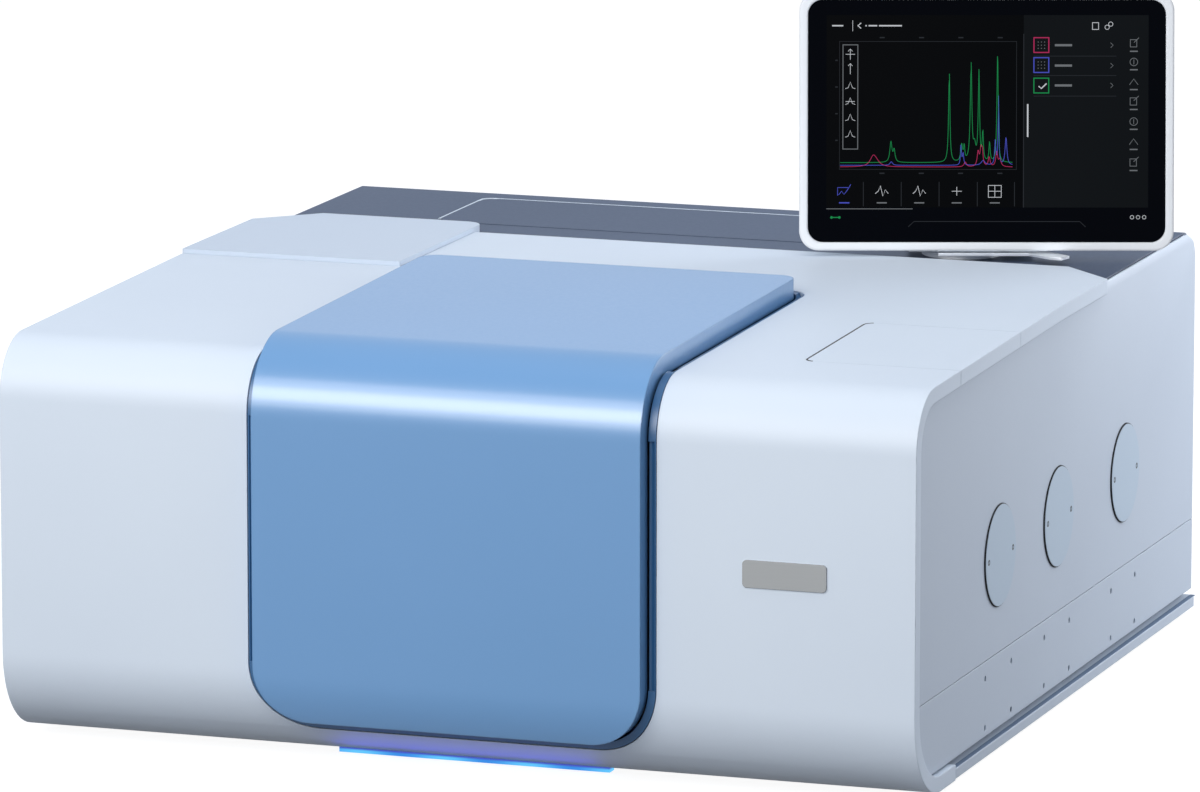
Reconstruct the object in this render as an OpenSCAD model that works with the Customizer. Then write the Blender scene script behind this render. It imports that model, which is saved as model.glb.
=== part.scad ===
// Benchtop infrared spectrometer: a wrapped front shell with a hinged sample lid,
// hinged service covers, side panels with beam ports, a rear deck with a touch display,
// and the optical bench inside. The case frame has y = 0 on the front face and z = 0
// under the base strips; in_case() moves it so that the feet stand on z = 0.

/* [Case] */
// Width of the case over the side lips
case_w = 669; // [640:1:700]
// Depth of the case from the front face to the back of the side panels
case_d = 713; // [690:1:740]
// Height of the flat part of the roof above the base strips
roof_z = 290; // [280:1:305]
// Slope of the roof from the front edge up to the crease, in degrees
roof_slope = 1; // [0.4:0.1:1.6]
// Distance of the crease behind the front face
crease_y = 345; // [342:1:352]
// Distance of the roof's back edge behind the front face
roof_back_y = 503; // [495:1:508]
// Cut across the rear corners of the roof
corner_cut = 41; // [34:1:46]
// Radius between the front face and the roof
front_top_r = 42; // [36:1:48]
// Radius between the front face and the underside
front_bottom_r = 62; // [55:1:68]
// Wall of the moulded shell
shell_wall = 4; // [3:0.5:5]
// Depth of the lip that frames each side panel
lip_depth = 11; // [9:0.5:13]
// Width of that lip along the case
lip_w = 10; // [8:0.5:12]
// Seam between two covers that meet
seam = 0.6; // [0.4:0.1:1]

/* [Sample lid] */
// Width of the sample compartment lid
lid_w = 284; // [272:1:288]
// Height that the lid stands proud of the shell
lid_proud = 12; // [9:0.5:14]
// Bottom edge of the lid above the base strips
lid_bottom_z = 29; // [26:1:36]
// Radius of the lid's lower corners
lid_corner_r = 40; // [30:1:50]
// Radius of the lid's rear corners
lid_back_r = 14; // [8:1:20]
// Back edge of the lid behind the front face
lid_back_y = 336; // [330:1:337]
// Wall of the lid
lid_wall = 3.5; // [3:0.25:4]
// Depth that the lid's rim reaches below the shell's surface
lid_lap = 3; // [2:0.5:4]
// Gap round the lid
lid_gap = 1.6; // [1.2:0.1:2.4]
// Width of the frame band round the lid
frame_band = 5.5; // [5:0.5:7]
// Radius of the channel in the frame band
channel_r = 3; // [2.5:0.1:3.2]
// Opening angle of the lid, in degrees
lid_open = 75; // [60:1:80]

/* [Hinges] */
// Radius of the lid's hinge pins
pin_r = 1.6; // [1.4:0.1:1.8]
// Wall of a hinge knuckle round its pin
knuckle_wall = 1.8; // [1.6:0.1:2]
// Radius of the rear left cover's hinge pin
cover_pin_r = 1.2; // [1:0.05:1.3]
// Wall of that cover's knuckles
cover_knuckle_wall = 1.2; // [1:0.05:1.3]
// Running clearance of a pin in a moving part
pin_clear = 0.05; // [0.03:0.01:0.08]
// Length of the fixed knuckle
fixed_knuckle = 16; // [12:1:20]
// Length of each moving knuckle
moving_knuckle = 10; // [8:1:12]
// Gap between two knuckles
knuckle_gap = 0.4; // [0.3:0.1:0.6]
// Distance of each lid hinge from the middle
lid_hinge_x = 95; // [80:1:110]

/* [Rear left cover] */
// Inner edge of the rear left cover from the middle
left_lid_x = 165; // [160:1:170]
// Back edge of that cover behind the front face
left_lid_back_y = 526; // [520:1:532]
// Height that the cover stands proud of the roof
left_lid_proud = 3.5; // [3:0.5:5]
// Radius of its rear corners
left_lid_r = 14; // [8:1:20]
// Wall of the cover
cover_wall = 3; // [2.5:0.25:3.5]

/* [Service hatch] */
// Inner edge of the service hatch from the middle
hatch_x = 222; // [210:1:235]
// Front edge of the hatch behind the front face
hatch_front_y = 102; // [98:1:110]
// Back edge of the hatch behind the front face
hatch_back_y = 244; // [230:1:255]
// Corner radius of the hatch
hatch_r = 7; // [4:1:10]

/* [Side panels] */
// Depth of the side panels behind the lips
panel_inset = 4; // [3:0.5:6]
// Sheet thickness of the side panels
panel_t = 3; // [2:0.5:4]
// Height of the seam between the upper and the lower panel
panel_seam_z = 66.5; // [62:0.5:72]
// Bottom edge of the lower panel
panel_bottom_z = 13; // [12:0.5:15]
// Distance of the upper panel's top edge below the roof
panel_drop = 5; // [4.5:0.5:8]
// Size of the bevel along the top edge behind the lip
panel_bevel = 7; // [5:0.5:9]
// Radius of the upper rear corner
panel_corner_r = 22; // [16:1:28]

/* [Beam ports] */
// Height of the beam and of the port centres
beam_z = 136; // [130:1:142]
// Distance of the first port behind the front face
port_y = 210; // [200:1:220]
// Distance from the first port to the second
port_pitch_1 = 144.5; // [140:0.5:150]
// Distance from the second port to the third
port_pitch_2 = 171; // [165:0.5:175]
// Diameter of a port opening in the panel
port_d = 73; // [68:1:80]
// Depth of a port cover below the panel's face
port_recess = 2.5; // [1.5:0.25:2.75]
// Thickness of a port cover
port_cover_t = 2; // [1.5:0.25:3]
// Gap between a port cover and its opening
port_clear = 0.3; // [0.2:0.1:0.6]
// Distance between the two screws of a port cover
port_screw_pitch = 58; // [50:1:60]
// Radius of the port cover screw shafts
port_screw_r = 1.5; // [1.25:0.05:1.75]

/* [Accessory holes] */
// Hole distance along the case
bolt_pitch_y = 63; // [58:0.5:68]
// Hole distance up the panel
bolt_pitch_z = 35; // [32:0.5:38]
// Height of the lower row of holes
bolt_low_z = 19; // [18:0.5:20]
// Radius of the holes
bolt_r = 2.1; // [1.6:0.05:2.5]

/* [Base] */
// Height of the base strips
strip_h = 8; // [7:0.5:9]
// Front end of the base strips behind the front face
strip_front_y = 96; // [90:1:100]
// Width of a base strip
strip_w = 12; // [10:1:14]
// Radius of the rear end of a base strip
strip_end_r = 8; // [5:1:10]
// Height of the feet
foot_h = 5; // [4:0.5:8]
// Diameter of the feet
foot_d = 40; // [30:1:50]
// Distance of the feet from the sides
foot_in = 62; // [50:1:80]

/* [Rear deck] */
// Distance of the rear deck below the roof
deck_drop = 4; // [3.5:0.25:5]
// Sheet thickness of the rear deck
deck_t = 3; // [2:0.5:4]
// Corner radius between the deck and the back
deck_r = 14; // [10:1:20]
// Half width of the deck's service cover
deck_lid_hw = 218; // [200:1:230]
// Front edge of the deck's service cover
deck_lid_front_y = 560; // [550:1:580]
// Back edge of the deck's service cover
deck_lid_back_y = 672; // [660:1:680]

/* [Display] */
// Width of the display
display_w = 273; // [255:1:290]
// Height of the display
display_h = 189; // [175:1:200]
// Thickness of the display at its edge
display_t = 12; // [10:0.5:16]
// Thickness of the raised back of the display
display_back_t = 12; // [10:1:18]
// Corner radius of the display
display_r = 14; // [10:1:18]
// Width of the rim round the glass
display_rim = 6; // [4:0.5:8]
// Turn of the display towards the right side, in degrees
display_turn = 19; // [10:1:25]
// Backward lean of the display, in degrees
display_lean = 8; // [4:1:12]
// Distance of the display's pivot from the middle
display_x = 197; // [180:1:200]
// Distance of the pivot behind the front face
display_y = 556; // [540:1:575]
// Distance of the display's middle from its pivot, towards the right
display_off = 16; // [0:1:25]
// Gap between the stand's plate and the display's lowest edge
display_gap = 0.4; // [0.3:0.1:3]
// Height of the tilt hinge above the deck
tilt_z = 40; // [36:1:50]
// Radius of the swivel disc
swivel_r = 30; // [24:1:36]

/* [Optics] */
// Radius of a beam window
window_r = 21; // [18:1:24]
// Distance of the beam through the sample compartment behind the front face
beam_y = 150; // [140:1:160]
// Travel of the sample slide upwards
slide_lift = 45; // [30:1:60]
// Travel of the moving mirror either way
mirror_travel = 10; // [6:1:12]
// Number of stops on the aperture wheel
aperture_count = 6; // [4:1:8]

/* [Hidden] */
$fn = 64;
shell_white = "#d3dce6";
lid_blue = "#6f9ccb";
frame_blue = "#5f8fc2";
panel_grey = "#b6c2d0";
deck_grey = "#5f6f85";
liner_black = "#23262b";
steel = "#b9bec4";
brass = "#c8a655";
cast_grey = "#8c9299";
// case frame
fitting_out = 12;
half_w = case_w / 2;
case_y = -(case_d + fitting_out - lid_proud) / 2;
case_z = foot_h;
deck_z = roof_z - deck_drop;
panel_top_z = roof_z - panel_drop;
top_c_y = front_top_r;
top_c_z = roof_at(front_top_r) - front_top_r / cos(roof_slope);
shell_rib_xs = [200, 265];
rib_t = 3;
strip_z0 = 1;
light_w = 200;
light_y = 46;
light_d = 9;
light_drop = 1.5;
// lid, frame band and compartment
lid_hw = lid_w / 2;
cut_grow = lid_gap + frame_band;
frame_drop = 0.4;
channel_sunk = 3;
flange_in = 14;
tub_side = lid_hw - lid_wall - 1.5;
tub_t = 3;
tub_in = 6;
tub_back = lid_back_y - 18;
tub_floor = lid_bottom_z + 14;
window_t = 4;
card_w = 51;
card_h = 76;
card_t = 2;
card_clear = 0.3;
rail_hw = 70;
rail_reach = 80;
rail_t = 5;
card_bottom = beam_z - card_h / 2;
// hinges
knuckle_r = pin_r + knuckle_wall;
cover_knuckle_r = cover_pin_r + cover_knuckle_wall;
pin_len = fixed_knuckle + 2 * (knuckle_gap + moving_knuckle);
lid_axis_y = lid_back_y - knuckle_r - 0.5;
lid_axis_z = roof_z + lid_proud - lid_wall - knuckle_r - 0.7;
left_axis_y = left_lid_back_y - cover_knuckle_r - seam;
left_axis_z = roof_z + left_lid_proud - cover_knuckle_r - seam / 2 - 0.8;
left_mid_x = -(half_w + left_lid_x) / 2;
hatch_mid_y = (hatch_front_y + hatch_back_y) / 2;
ledge_in = 7;
ledge_t = 3;
seat_gap = 0.1;
// side panels and the frame behind them
ports = [port_y, port_y + port_pitch_1, port_y + port_pitch_1 + port_pitch_2];
panel_x = half_w - panel_inset;
panel_step_y = roof_back_y - corner_cut + panel_inset + panel_t + 1;
lower_t = 2 * panel_t;
frame_x1 = panel_x - lower_t - 5;
frame_x0 = frame_x1 - 9.5;
post_ys = [120, 283, 432, case_d - 73];
post_w = 14;
rail_z = roof_z - 30;
rail_h = 10;
pad_y0 = crease_y - 45;
pad_y1 = crease_y - 5;
// deck and back
deck_hw = panel_x - panel_t - 1;
deck_back_in = 4;
deck_skirt = 47;
deck_wing_y = roof_back_y - corner_cut + lip_w - 2;
deck_lid_sunk = 1.6;
back_t = 3;
back_face = case_d - deck_back_in - deck_t;
vent_count = 5;
fan_x = -60;
fan_z = 160;
fan_r = 37;
fan_t = 26;
fan_pin_r = 2;
vent_rows = 12;
vent_x = 60;
vent_z = 60;
vent_w = 52;
vent_h = 5;
vent_gap = 10;
vent_pitch = 12;
socket_z = 44.5;
socket_hh = 10.5;
flange_t = 2;
flange_edge = 3;
opening_clear = 0.4;
inlet_x = 62.5 - half_w;
inlet_hw = 14;
switch_hw = 10;
switch_x = inlet_x + inlet_hw + switch_hw + 2 * flange_edge + seam;
rocker_hw = 8;
rocker_r = 8.5;
rocker_pin_r = 1.2;
data_x0 = switch_x + switch_hw + 2 * flange_edge + seam;
data_w = 80;
data_deep = 20;
// each socket: left edge, width, half height and depth of its mouth
data_mouths = [[4, 15, 6.5, 14], [26, 13, 3, 14], [46, 13, 3, 14], [65, 11, 5, 12]];
data_cuts = [0, 22.5, 42.5, 62, data_w];
purge_xs = [half_w - 104.5, half_w - 74.5];
purge_r = 5;
// optics
bench_top = 34;
bench_front_y = 112;
bench_back_y = case_d - 100;
bench_hw = half_w - 44.5;
bench_rib = 8;
bay_floor_z = 150;
bay_wall = 3;
bay_x0 = -frame_x0 + 3.5;
bay_x1 = -left_lid_x - 6;
splitter_r = 35;
mirror_y = case_d - 123;
mirror_h = 96;
mirror_r = 26;
guide_x = -60;
guide_y = crease_y + 95;
guide_h = 55;
guide_rod_r = 8;
laser_x0 = 30;
laser_x1 = bench_hw - 28;
laser_y = case_d - 128;
laser_h = 46;
laser_r = 19;
source_x = bench_hw - 58;
source_y = tub_back + tub_t + 44;
source_hw = 40;
source_h = 150;
focus_x = tub_side + 68;
focus_r = 30;
detector_x = 40 - bench_hw;
detector_y = 250;
detector_r = 30;
detector_h = 122;
board_x = bench_hw - 230;
board_y = source_y + source_hw + (laser_y - laser_r - source_y - source_hw) * 5 / 7;
board_w = 210;
board_h = 141;
board_t = 2;
chip_pitch = 48;
supply_x = 10 - frame_x0;
supply_y = case_d - 88;
supply_w = 130;
supply_d = 50;
supply_h = 90;
wheel_pitch_r = 24;
wheel_pin_r = 3;
cartridge_r = 24;
cart_x = half_w - 59.5;
cart_floor = 190;
cart_h = 70;
cart_pitch = 64;
cart_clear = 0.4;
// display
swivel_t = deck_drop;
swivel_pin_r = 8;
stand_lift = 0.3;
stand_t = 2;
tilt_pin_r = 3;
tilt_eye_r = 6;
glass_seat = 2;
glass_t = 1.6;
glass_clear = 0.2;
display_face_y = -display_t - display_back_t - 10;
stand_top = swivel_t + stand_lift + stand_t;
display_low = (stand_top + display_gap - tilt_z
    + (display_face_y + display_t) * sin(display_lean)) / cos(display_lean);
// the display reaches past the right side, and the whole is centred over both
display_reach = display_x + (display_w / 2 + display_off) * cos(display_turn)
    - (display_face_y * cos(display_lean)
    + (display_low + display_r) * sin(display_lean)) * sin(display_turn);
case_x = -(max(display_reach, half_w) - half_w) / 2;

function roof_at(y) = roof_z - max(0, crease_y - y) * tan(roof_slope);

module in_case() {
    translate([case_x, case_y, case_z]) children();
}

// A block between two corners.
module block(a, b) {
    translate(a) cube(b - a);
}

// Carries a side view, drawn as depth and height, across the width.
module across(x0, x1) {
    translate([x0, 0, 0]) rotate([90, 0, 90]) linear_extrude(x1 - x0) children();
}

module rod_x(x0, x1, r) {
    translate([x0, 0, 0]) rotate([0, 90, 0]) cylinder(r = r, h = x1 - x0);
}

module rod_y(y0, y1, r) {
    translate([0, y1, 0]) rotate([90, 0, 0]) cylinder(r = r, h = y1 - y0);
}

module mirror_x() {
    children();
    mirror([1, 0, 0]) children();
}

// A rectangle with round corners, centred.
module round_rect(w, h, r) {
    square([w - 2 * r, h], center = true);
    square([w, h - 2 * r], center = true);
    for (sx = [-1, 1], sy = [-1, 1])
        translate([sx * (w / 2 - r), sy * (h / 2 - r)]) circle(r);
}

// A solid with the shell's side view, set in from its outer surface.
module wrap(x0, x1, inset, y_end) {
    rt = front_top_r - inset;
    rb = front_bottom_r - inset;
    crest = roof_z - inset;
    union() {
        translate([0, top_c_y, top_c_z]) rod_x(x0, x1, rt, $fn = 128);
        translate([0, front_bottom_r, front_bottom_r]) rod_x(x0, x1, rb, $fn = 128);
        across(x0, x1) polygon([[inset, front_bottom_r], [inset, top_c_z],
            [top_c_y - rt * sin(roof_slope), top_c_z + rt * cos(roof_slope)],
            [crease_y, crest], [y_end, crest], [y_end, inset], [front_bottom_r, inset]]);
    }
}

// The layer between two such solids.
module skin(x0, x1, outer, inner, y_end) {
    difference() {
        wrap(x0, x1, outer, y_end);
        wrap(x0 - 1, x1 + 1, inner, y_end + 1);
    }
}

// A plate that lies along the sloping roof, between two depths below its surface.
module roof_plate(x0, x1, y0, y1, top_in, low_in) {
    across(x0, x1) polygon([[y0, roof_at(y0) - low_in], [y1, roof_at(y1) - low_in],
        [y1, roof_at(y1) - top_in], [y0, roof_at(y0) - top_in]]);
}

// The space that the lid covers: its front view and its top view, grown all round.
module lid_zone(grow) {
    hw = lid_hw + grow;
    r = lid_corner_r + grow;
    rb = max(2, lid_back_r + grow);
    low = lid_bottom_z - grow;
    back = lid_back_y + grow;
    y1 = front_bottom_r + 20;
    z0 = top_c_z - 10;
    z1 = z0 + 120;
    union() {
        block([-hw + r, -40, low], [hw - r, y1, z1]);
        block([-hw, -40, low + r], [hw, y1, z1]);
        block([-hw, 20, z0], [hw, back - rb, z1]);
        block([-hw + rb, 20, z0], [hw - rb, back, z1]);
        for (s = [-1, 1]) {
            translate([s * (hw - r), 0, low + r]) rod_y(-40, y1, r);
            translate([s * (hw - rb), back - rb, z0]) cylinder(r = rb, h = z1 - z0);
        }
    }
}

// The space of the rear left cover between two heights, grown all round. Its outer rear
// corner is cut off.
module left_cover_zone(grow, x0, z0, z1) {
    x1 = -left_lid_x + grow;
    y0 = crease_y - grow;
    y1 = left_lid_back_y + grow;
    r = left_lid_r;
    diagonal = left_lid_back_y - corner_cut + grow * sqrt(2);
    union() {
        translate([0, 0, z0]) linear_extrude(z1 - z0) polygon([[x0, y0], [x1, y0],
            [x1, y1 - r], [x1 - r, y1], [y1 - diagonal - half_w, y1],
            [x0, diagonal + x0 + half_w]]);
        translate([x1 - r, y1 - r, z0]) cylinder(r = r, h = z1 - z0);
    }
}

// The space of the service hatch, grown all round.
module hatch_zone(grow) {
    x0 = hatch_x - grow;
    y0 = hatch_front_y - grow;
    y1 = hatch_back_y + grow;
    z0 = roof_z - 60;
    z1 = roof_z + 20;
    r = hatch_r;
    union() {
        block([x0 + r, y0, z0], [half_w + 1, y1, z1]);
        block([x0, y0 + r, z0], [half_w + 1, y1 - r, z1]);
        for (y = [y0 + r, y1 - r]) translate([x0 + r, y, z0]) cylinder(r = r, h = z1 - z0);
    }
}

module shell_body() {
    union() {
        skin(-half_w, half_w, 0, shell_wall, roof_back_y);
        for (x = [-half_w, half_w - lip_w])
            skin(x, x + lip_w, 0, lip_depth, roof_back_y);
    }
}

module front_shell() {
    color(shell_white) in_case() difference() {
        union() {
            shell_body();
            // stiffening ribs behind the front face
            for (s = [-1, 1], x = shell_rib_xs)
                block([s * x - rib_t / 2, shell_wall - 1, front_bottom_r + 8],
                    [s * x + rib_t / 2, shell_wall + 8, top_c_z - 8]);
        }
        // the underside ends where the base strips start
        block([-half_w - 1, strip_front_y, -1], [half_w + 1, roof_back_y + 1, 200]);
        lid_zone(cut_grow + seam);
        block([-half_w - 1, crease_y - seam, 200],
            [-left_lid_x + seam, roof_back_y + 2, roof_z + 10]);
        hatch_zone(seam);
        // the rear right corner is cut off
        translate([half_w, roof_back_y - corner_cut, 200]) rotate([0, 0, 45])
            translate([0, -10, 0]) cube([corner_cut, corner_cut * 2, 120]);
        // slot of the light bar
        block([-light_w / 2, light_y, -1], [light_w / 2, light_y + light_d, 12]);
    }
}

module sample_lid() {
    notch = fixed_knuckle / 2 + knuckle_gap;
    w = lid_hw + 1;
    color(lid_blue) in_case() difference() {
        union() {
            difference() {
                intersection() {
                    skin(-w, w, -lid_proud, lid_lap, roof_back_y);
                    lid_zone(0);
                }
                intersection() {
                    wrap(-w, w, lid_wall - lid_proud, roof_back_y);
                    lid_zone(-lid_wall);
                }
            }
            for (s = [-1, 1], k = [-1, 1])
                translate([s * lid_hinge_x, lid_axis_y, lid_axis_z]) {
                    x0 = k > 0 ? notch : -notch - moving_knuckle;
                    rod_x(x0, x0 + moving_knuckle, knuckle_r);
                    block([x0, -knuckle_r, 0], [x0 + moving_knuckle, lid_back_y - lid_axis_y,
                        knuckle_r + 1]);
                }
        }
        for (s = [-1, 1]) translate([s * lid_hinge_x, lid_axis_y, lid_axis_z]) {
            rod_x(-pin_len / 2 - 1, pin_len / 2 + 1, pin_r + pin_clear);
            block([-notch, -knuckle_r - 2, -30], [notch, 20, knuckle_r + 0.5]);
        }
    }
}

module channel_path(x) {
    lift = channel_r - channel_sunk;
    translate([x, -lift, lid_bottom_z + lid_corner_r])
        cylinder(r = channel_r, h = top_c_z - lid_bottom_z - lid_corner_r);
    translate([x, top_c_y, top_c_z]) rotate([0, 90, 0]) rotate([0, 0, 90])
        rotate_extrude(angle = 92) translate([front_top_r + lift, 0]) circle(channel_r);
    translate([x, top_c_y, top_c_z]) rotate([roof_slope, 0, 0])
        translate([0, 0, front_top_r + lift]) rod_y(0, crease_y, channel_r);
}

module sample_frame() {
    color(frame_blue) in_case() difference() {
        intersection() {
            skin(-half_w, half_w, frame_drop, flange_in, roof_back_y);
            lid_zone(cut_grow);
        }
        lid_zone(lid_gap);
        for (s = [-1, 1]) channel_path(s * (lid_hw + lid_gap + 1.5));
    }
}

module lid_hinge_brackets() {
    web = fixed_knuckle / 2;
    color(steel) in_case() for (s = [-1, 1])
        translate([s * lid_hinge_x, 0, 0]) difference() {
            union() {
                block([-web, tub_back + tub_t, roof_z - 45],
                    [web, tub_back + tub_t + 3, roof_z - 4]);
                block([-web, tub_back + tub_t, roof_z - 7],
                    [web, lid_axis_y + knuckle_r, roof_z - 4]);
                block([-web, lid_axis_y - knuckle_r, roof_z - 7],
                    [web, lid_axis_y + knuckle_r, lid_axis_z]);
                translate([0, lid_axis_y, lid_axis_z]) rod_x(-web, web, knuckle_r);
            }
            translate([0, lid_axis_y, lid_axis_z]) rod_x(-web - 1, web + 1, pin_r);
        }
}

module lid_hinge_pins() {
    color(steel) in_case() for (s = [-1, 1])
        translate([s * lid_hinge_x, lid_axis_y, lid_axis_z])
            rod_x(-pin_len / 2, pin_len / 2, pin_r);
}

module left_cover() {
    top = roof_z + left_lid_proud;
    low = roof_z - lip_depth;
    notch = fixed_knuckle / 2 + knuckle_gap;
    inner_x = -half_w + lip_w;
    color(shell_white) in_case() difference() {
        union() {
            difference() {
                left_cover_zone(0, -half_w, low, top);
                left_cover_zone(-cover_wall, inner_x, low - 1, top - cover_wall);
                // the rim in the roof opening is shallower than the lip
                block([inner_x, crease_y - 5, low - 1], [0, roof_back_y + 40,
                    roof_z - lip_depth / 2]);
                // behind the lip's end the cover stands on the deck
                block([-half_w - 1, deck_wing_y - 2, low - 1], [0, case_d, deck_z + seam]);
                // room for the rear edge to swing down
                block([-half_w - 1, left_axis_y, low - 1], [0, case_d, left_axis_z - 1.8]);
            }
            translate([left_mid_x, left_axis_y, left_axis_z]) for (k = [-1, 1]) {
                x0 = k > 0 ? notch : -notch - moving_knuckle;
                rod_x(x0, x0 + moving_knuckle, cover_knuckle_r);
                block([x0, -cover_knuckle_r, 0],
                    [x0 + moving_knuckle, cover_knuckle_r, top - left_axis_z - 1]);
            }
        }
        translate([left_mid_x, left_axis_y, left_axis_z]) {
            rod_x(-pin_len / 2 - 1, pin_len / 2 + 1, cover_pin_r + pin_clear);
            block([-notch, -cover_knuckle_r - seam, -30],
                [notch, 20, cover_knuckle_r + seam / 2]);
        }
    }
}

module left_cover_bracket() {
    web = fixed_knuckle / 2;
    color(steel) in_case() translate([left_mid_x, left_axis_y, 0]) difference() {
        union() {
            block([-web, -cover_knuckle_r, deck_z], [web, cover_knuckle_r, left_axis_z]);
            translate([0, 0, left_axis_z]) rod_x(-web, web, cover_knuckle_r);
        }
        translate([0, 0, left_axis_z]) rod_x(-web - 1, web + 1, cover_pin_r);
    }
}

module left_cover_pin() {
    color(steel) in_case() translate([left_mid_x, left_axis_y, left_axis_z])
        rod_x(-pin_len / 2, pin_len / 2, cover_pin_r);
}

// The hatch lifts off; two ribs locate it inside its ledge.
module service_hatch() {
    color(shell_white) in_case() union() {
        intersection() {
            shell_body();
            hatch_zone(0);
        }
        for (y = [hatch_front_y + ledge_in + 1, hatch_back_y - ledge_in - 1 - rib_t])
            roof_plate(hatch_x + 18, half_w - lip_w - 10, y, y + rib_t, shell_wall - 1,
                shell_wall + 9);
    }
}

module hatch_ledge() {
    x0 = hatch_x - ledge_in;
    y0 = hatch_front_y - ledge_in;
    y1 = hatch_back_y + ledge_in;
    color(steel) in_case() difference() {
        roof_plate(x0, half_w - lip_w - seam, y0, y1, shell_wall + seat_gap,
            shell_wall + ledge_t);
        block([x0 + 2 * ledge_in, y0 + 2 * ledge_in, 200], [half_w, y1 - 2 * ledge_in, 400]);
    }
}

// The space inside the shell's lip and behind its end, as seen from the side.
module panel_solid(x0, x1, z0) {
    r = panel_corner_r;
    intersection() {
        union() {
            wrap(x0, x1, lip_depth + 1, panel_step_y + 20);
            block([x0, panel_step_y, 0], [x1, case_d - r, panel_top_z]);
            block([x0, panel_step_y, 0], [x1, case_d, panel_top_z - r]);
            translate([0, case_d - r, panel_top_z - r]) rod_x(x0, x1, r);
        }
        block([x0 - 1, -1, z0], [x1 + 1, case_d + 1, roof_z + 10]);
    }
}

module side_panel() {
    difference() {
        panel_solid(panel_x - panel_t, panel_x, panel_seam_z + seam / 2);
        // bevel on the top edge behind the end of the lip
        translate([panel_x, panel_step_y - 1, panel_top_z]) rotate([-90, 0, 0])
            linear_extrude(case_d) polygon([[-panel_bevel / 3.5, -1], [1, -1],
                [1, panel_bevel], [0, panel_bevel]]);
        for (y = ports) translate([0, y, beam_z])
            rod_x(panel_x - panel_t - 1, panel_x + 1, port_d / 2);
    }
}

module side_panel_right() {
    color(panel_grey) in_case() side_panel();
}

module side_panel_left() {
    color(panel_grey) in_case() mirror([1, 0, 0]) side_panel();
}

module lower_panel() {
    difference() {
        panel_solid(panel_x - lower_t, panel_x, panel_bottom_z);
        block([0, 0, panel_seam_z - seam / 2], [half_w, case_d + 1, roof_z]);
        for (y = ports, dy = [-1, 1], z = [bolt_low_z, bolt_low_z + bolt_pitch_z])
            translate([0, y + dy * bolt_pitch_y / 2, z])
                rod_x(panel_x - lower_t - 1, panel_x + 1, bolt_r);
    }
}

module lower_panel_right() {
    color(panel_grey) in_case() lower_panel();
}

module lower_panel_left() {
    color(panel_grey) in_case() mirror([1, 0, 0]) lower_panel();
}

// Posts and a top rail behind the side panels; they carry the panels, the shell and the
// deck.
module side_frame() {
    rail_top = rail_z + rail_h;
    union() {
        for (y = post_ys) {
            block([frame_x0, y, strip_h], [frame_x1, y + post_w, rail_z + 1]);
            block([frame_x1 - 1, y, panel_seam_z + 10],
                [panel_x - panel_t, y + post_w, panel_seam_z + 20]);
        }
        block([frame_x0, post_ys[0], rail_z], [panel_x - panel_t, case_d - 20, rail_top]);
        // pads under the roof and under the deck
        across(frame_x0, half_w - lip_w - seam) polygon([[pad_y0, rail_top - 1],
            [pad_y1, rail_top - 1], [pad_y1, roof_at(pad_y1) - shell_wall - seat_gap],
            [pad_y0, roof_at(pad_y0) - shell_wall - seat_gap]]);
        block([frame_x0, case_d - 150, rail_top - 1], [deck_hw, case_d - 40,
            deck_z - deck_t]);
    }
}

module side_frame_right() {
    color(steel) in_case() side_frame();
}

module side_frame_left() {
    color(steel) in_case() mirror([1, 0, 0]) side_frame();
}

// The covers sit in the panel openings, on a flange behind the sheet.
module port_covers() {
    face = panel_x - port_recess;
    color(panel_grey) in_case() mirror_x() for (y = ports) translate([0, y, beam_z])
        difference() {
            union() {
                rod_x(panel_x - panel_t - port_cover_t, panel_x - panel_t,
                    port_d / 2 + 7);
                rod_x(panel_x - panel_t - port_cover_t, face, port_d / 2 - port_clear);
            }
            for (s = [-1, 1]) translate([0, s * port_screw_pitch / 2, 0])
                rod_x(face - 10, face + 1, port_screw_r);
        }
}

module port_screws() {
    face = panel_x - port_recess;
    color(steel) in_case() mirror_x() for (y = ports, s = [-1, 1])
        translate([0, y + s * port_screw_pitch / 2, beam_z]) difference() {
            union() {
                rod_x(face - port_cover_t - 4, face, port_screw_r);
                rod_x(face, face + 1, port_screw_r * 1.7);
            }
            translate([face + 0.4, 0, 0]) rod_x(0, 1, port_screw_r * 0.7, $fn = 6);
        }
}

module base_tray() {
    inner = half_w - strip_w;
    color(cast_grey) in_case() difference() {
        union() {
            block([-inner, strip_front_y + 2, strip_z0], [inner, back_face, strip_h]);
            // tongue that lies on the shell's underside
            block([-inner + 20, front_bottom_r + 6, shell_wall],
                [inner - 20, strip_front_y + 3, strip_h - 1]);
            // upstands that carry the lower panels
            mirror_x() {
                block([frame_x1, strip_front_y + 20, strip_h - 1],
                    [inner, case_d - 16, panel_seam_z - 26]);
                block([inner - 1, strip_front_y + 20, strip_h],
                    [panel_x - lower_t, case_d - 16, panel_seam_z - 26]);
            }
        }
        for (i = [0 : vent_count - 1])
            translate([-120 + i * 60, case_d - 70, 0]) cylinder(r = 9, h = strip_h + 1);
    }
}

module base_strip() {
    x0 = half_w - strip_w;
    y0 = strip_front_y + seam;
    r = strip_end_r;
    intersection() {
        union() {
            block([x0, y0, strip_z0], [half_w, case_d - r, strip_h]);
            block([x0, y0, strip_z0], [half_w - r, case_d, strip_h]);
            translate([half_w - r, case_d - r, strip_z0])
                cylinder(r = r, h = strip_h - strip_z0);
        }
        block([x0, y0, 0], [half_w, case_d, strip_h + 1]);
    }
}

module base_strip_right() {
    color(panel_grey) in_case() base_strip();
}

module base_strip_left() {
    color(panel_grey) in_case() mirror([1, 0, 0]) base_strip();
}

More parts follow.
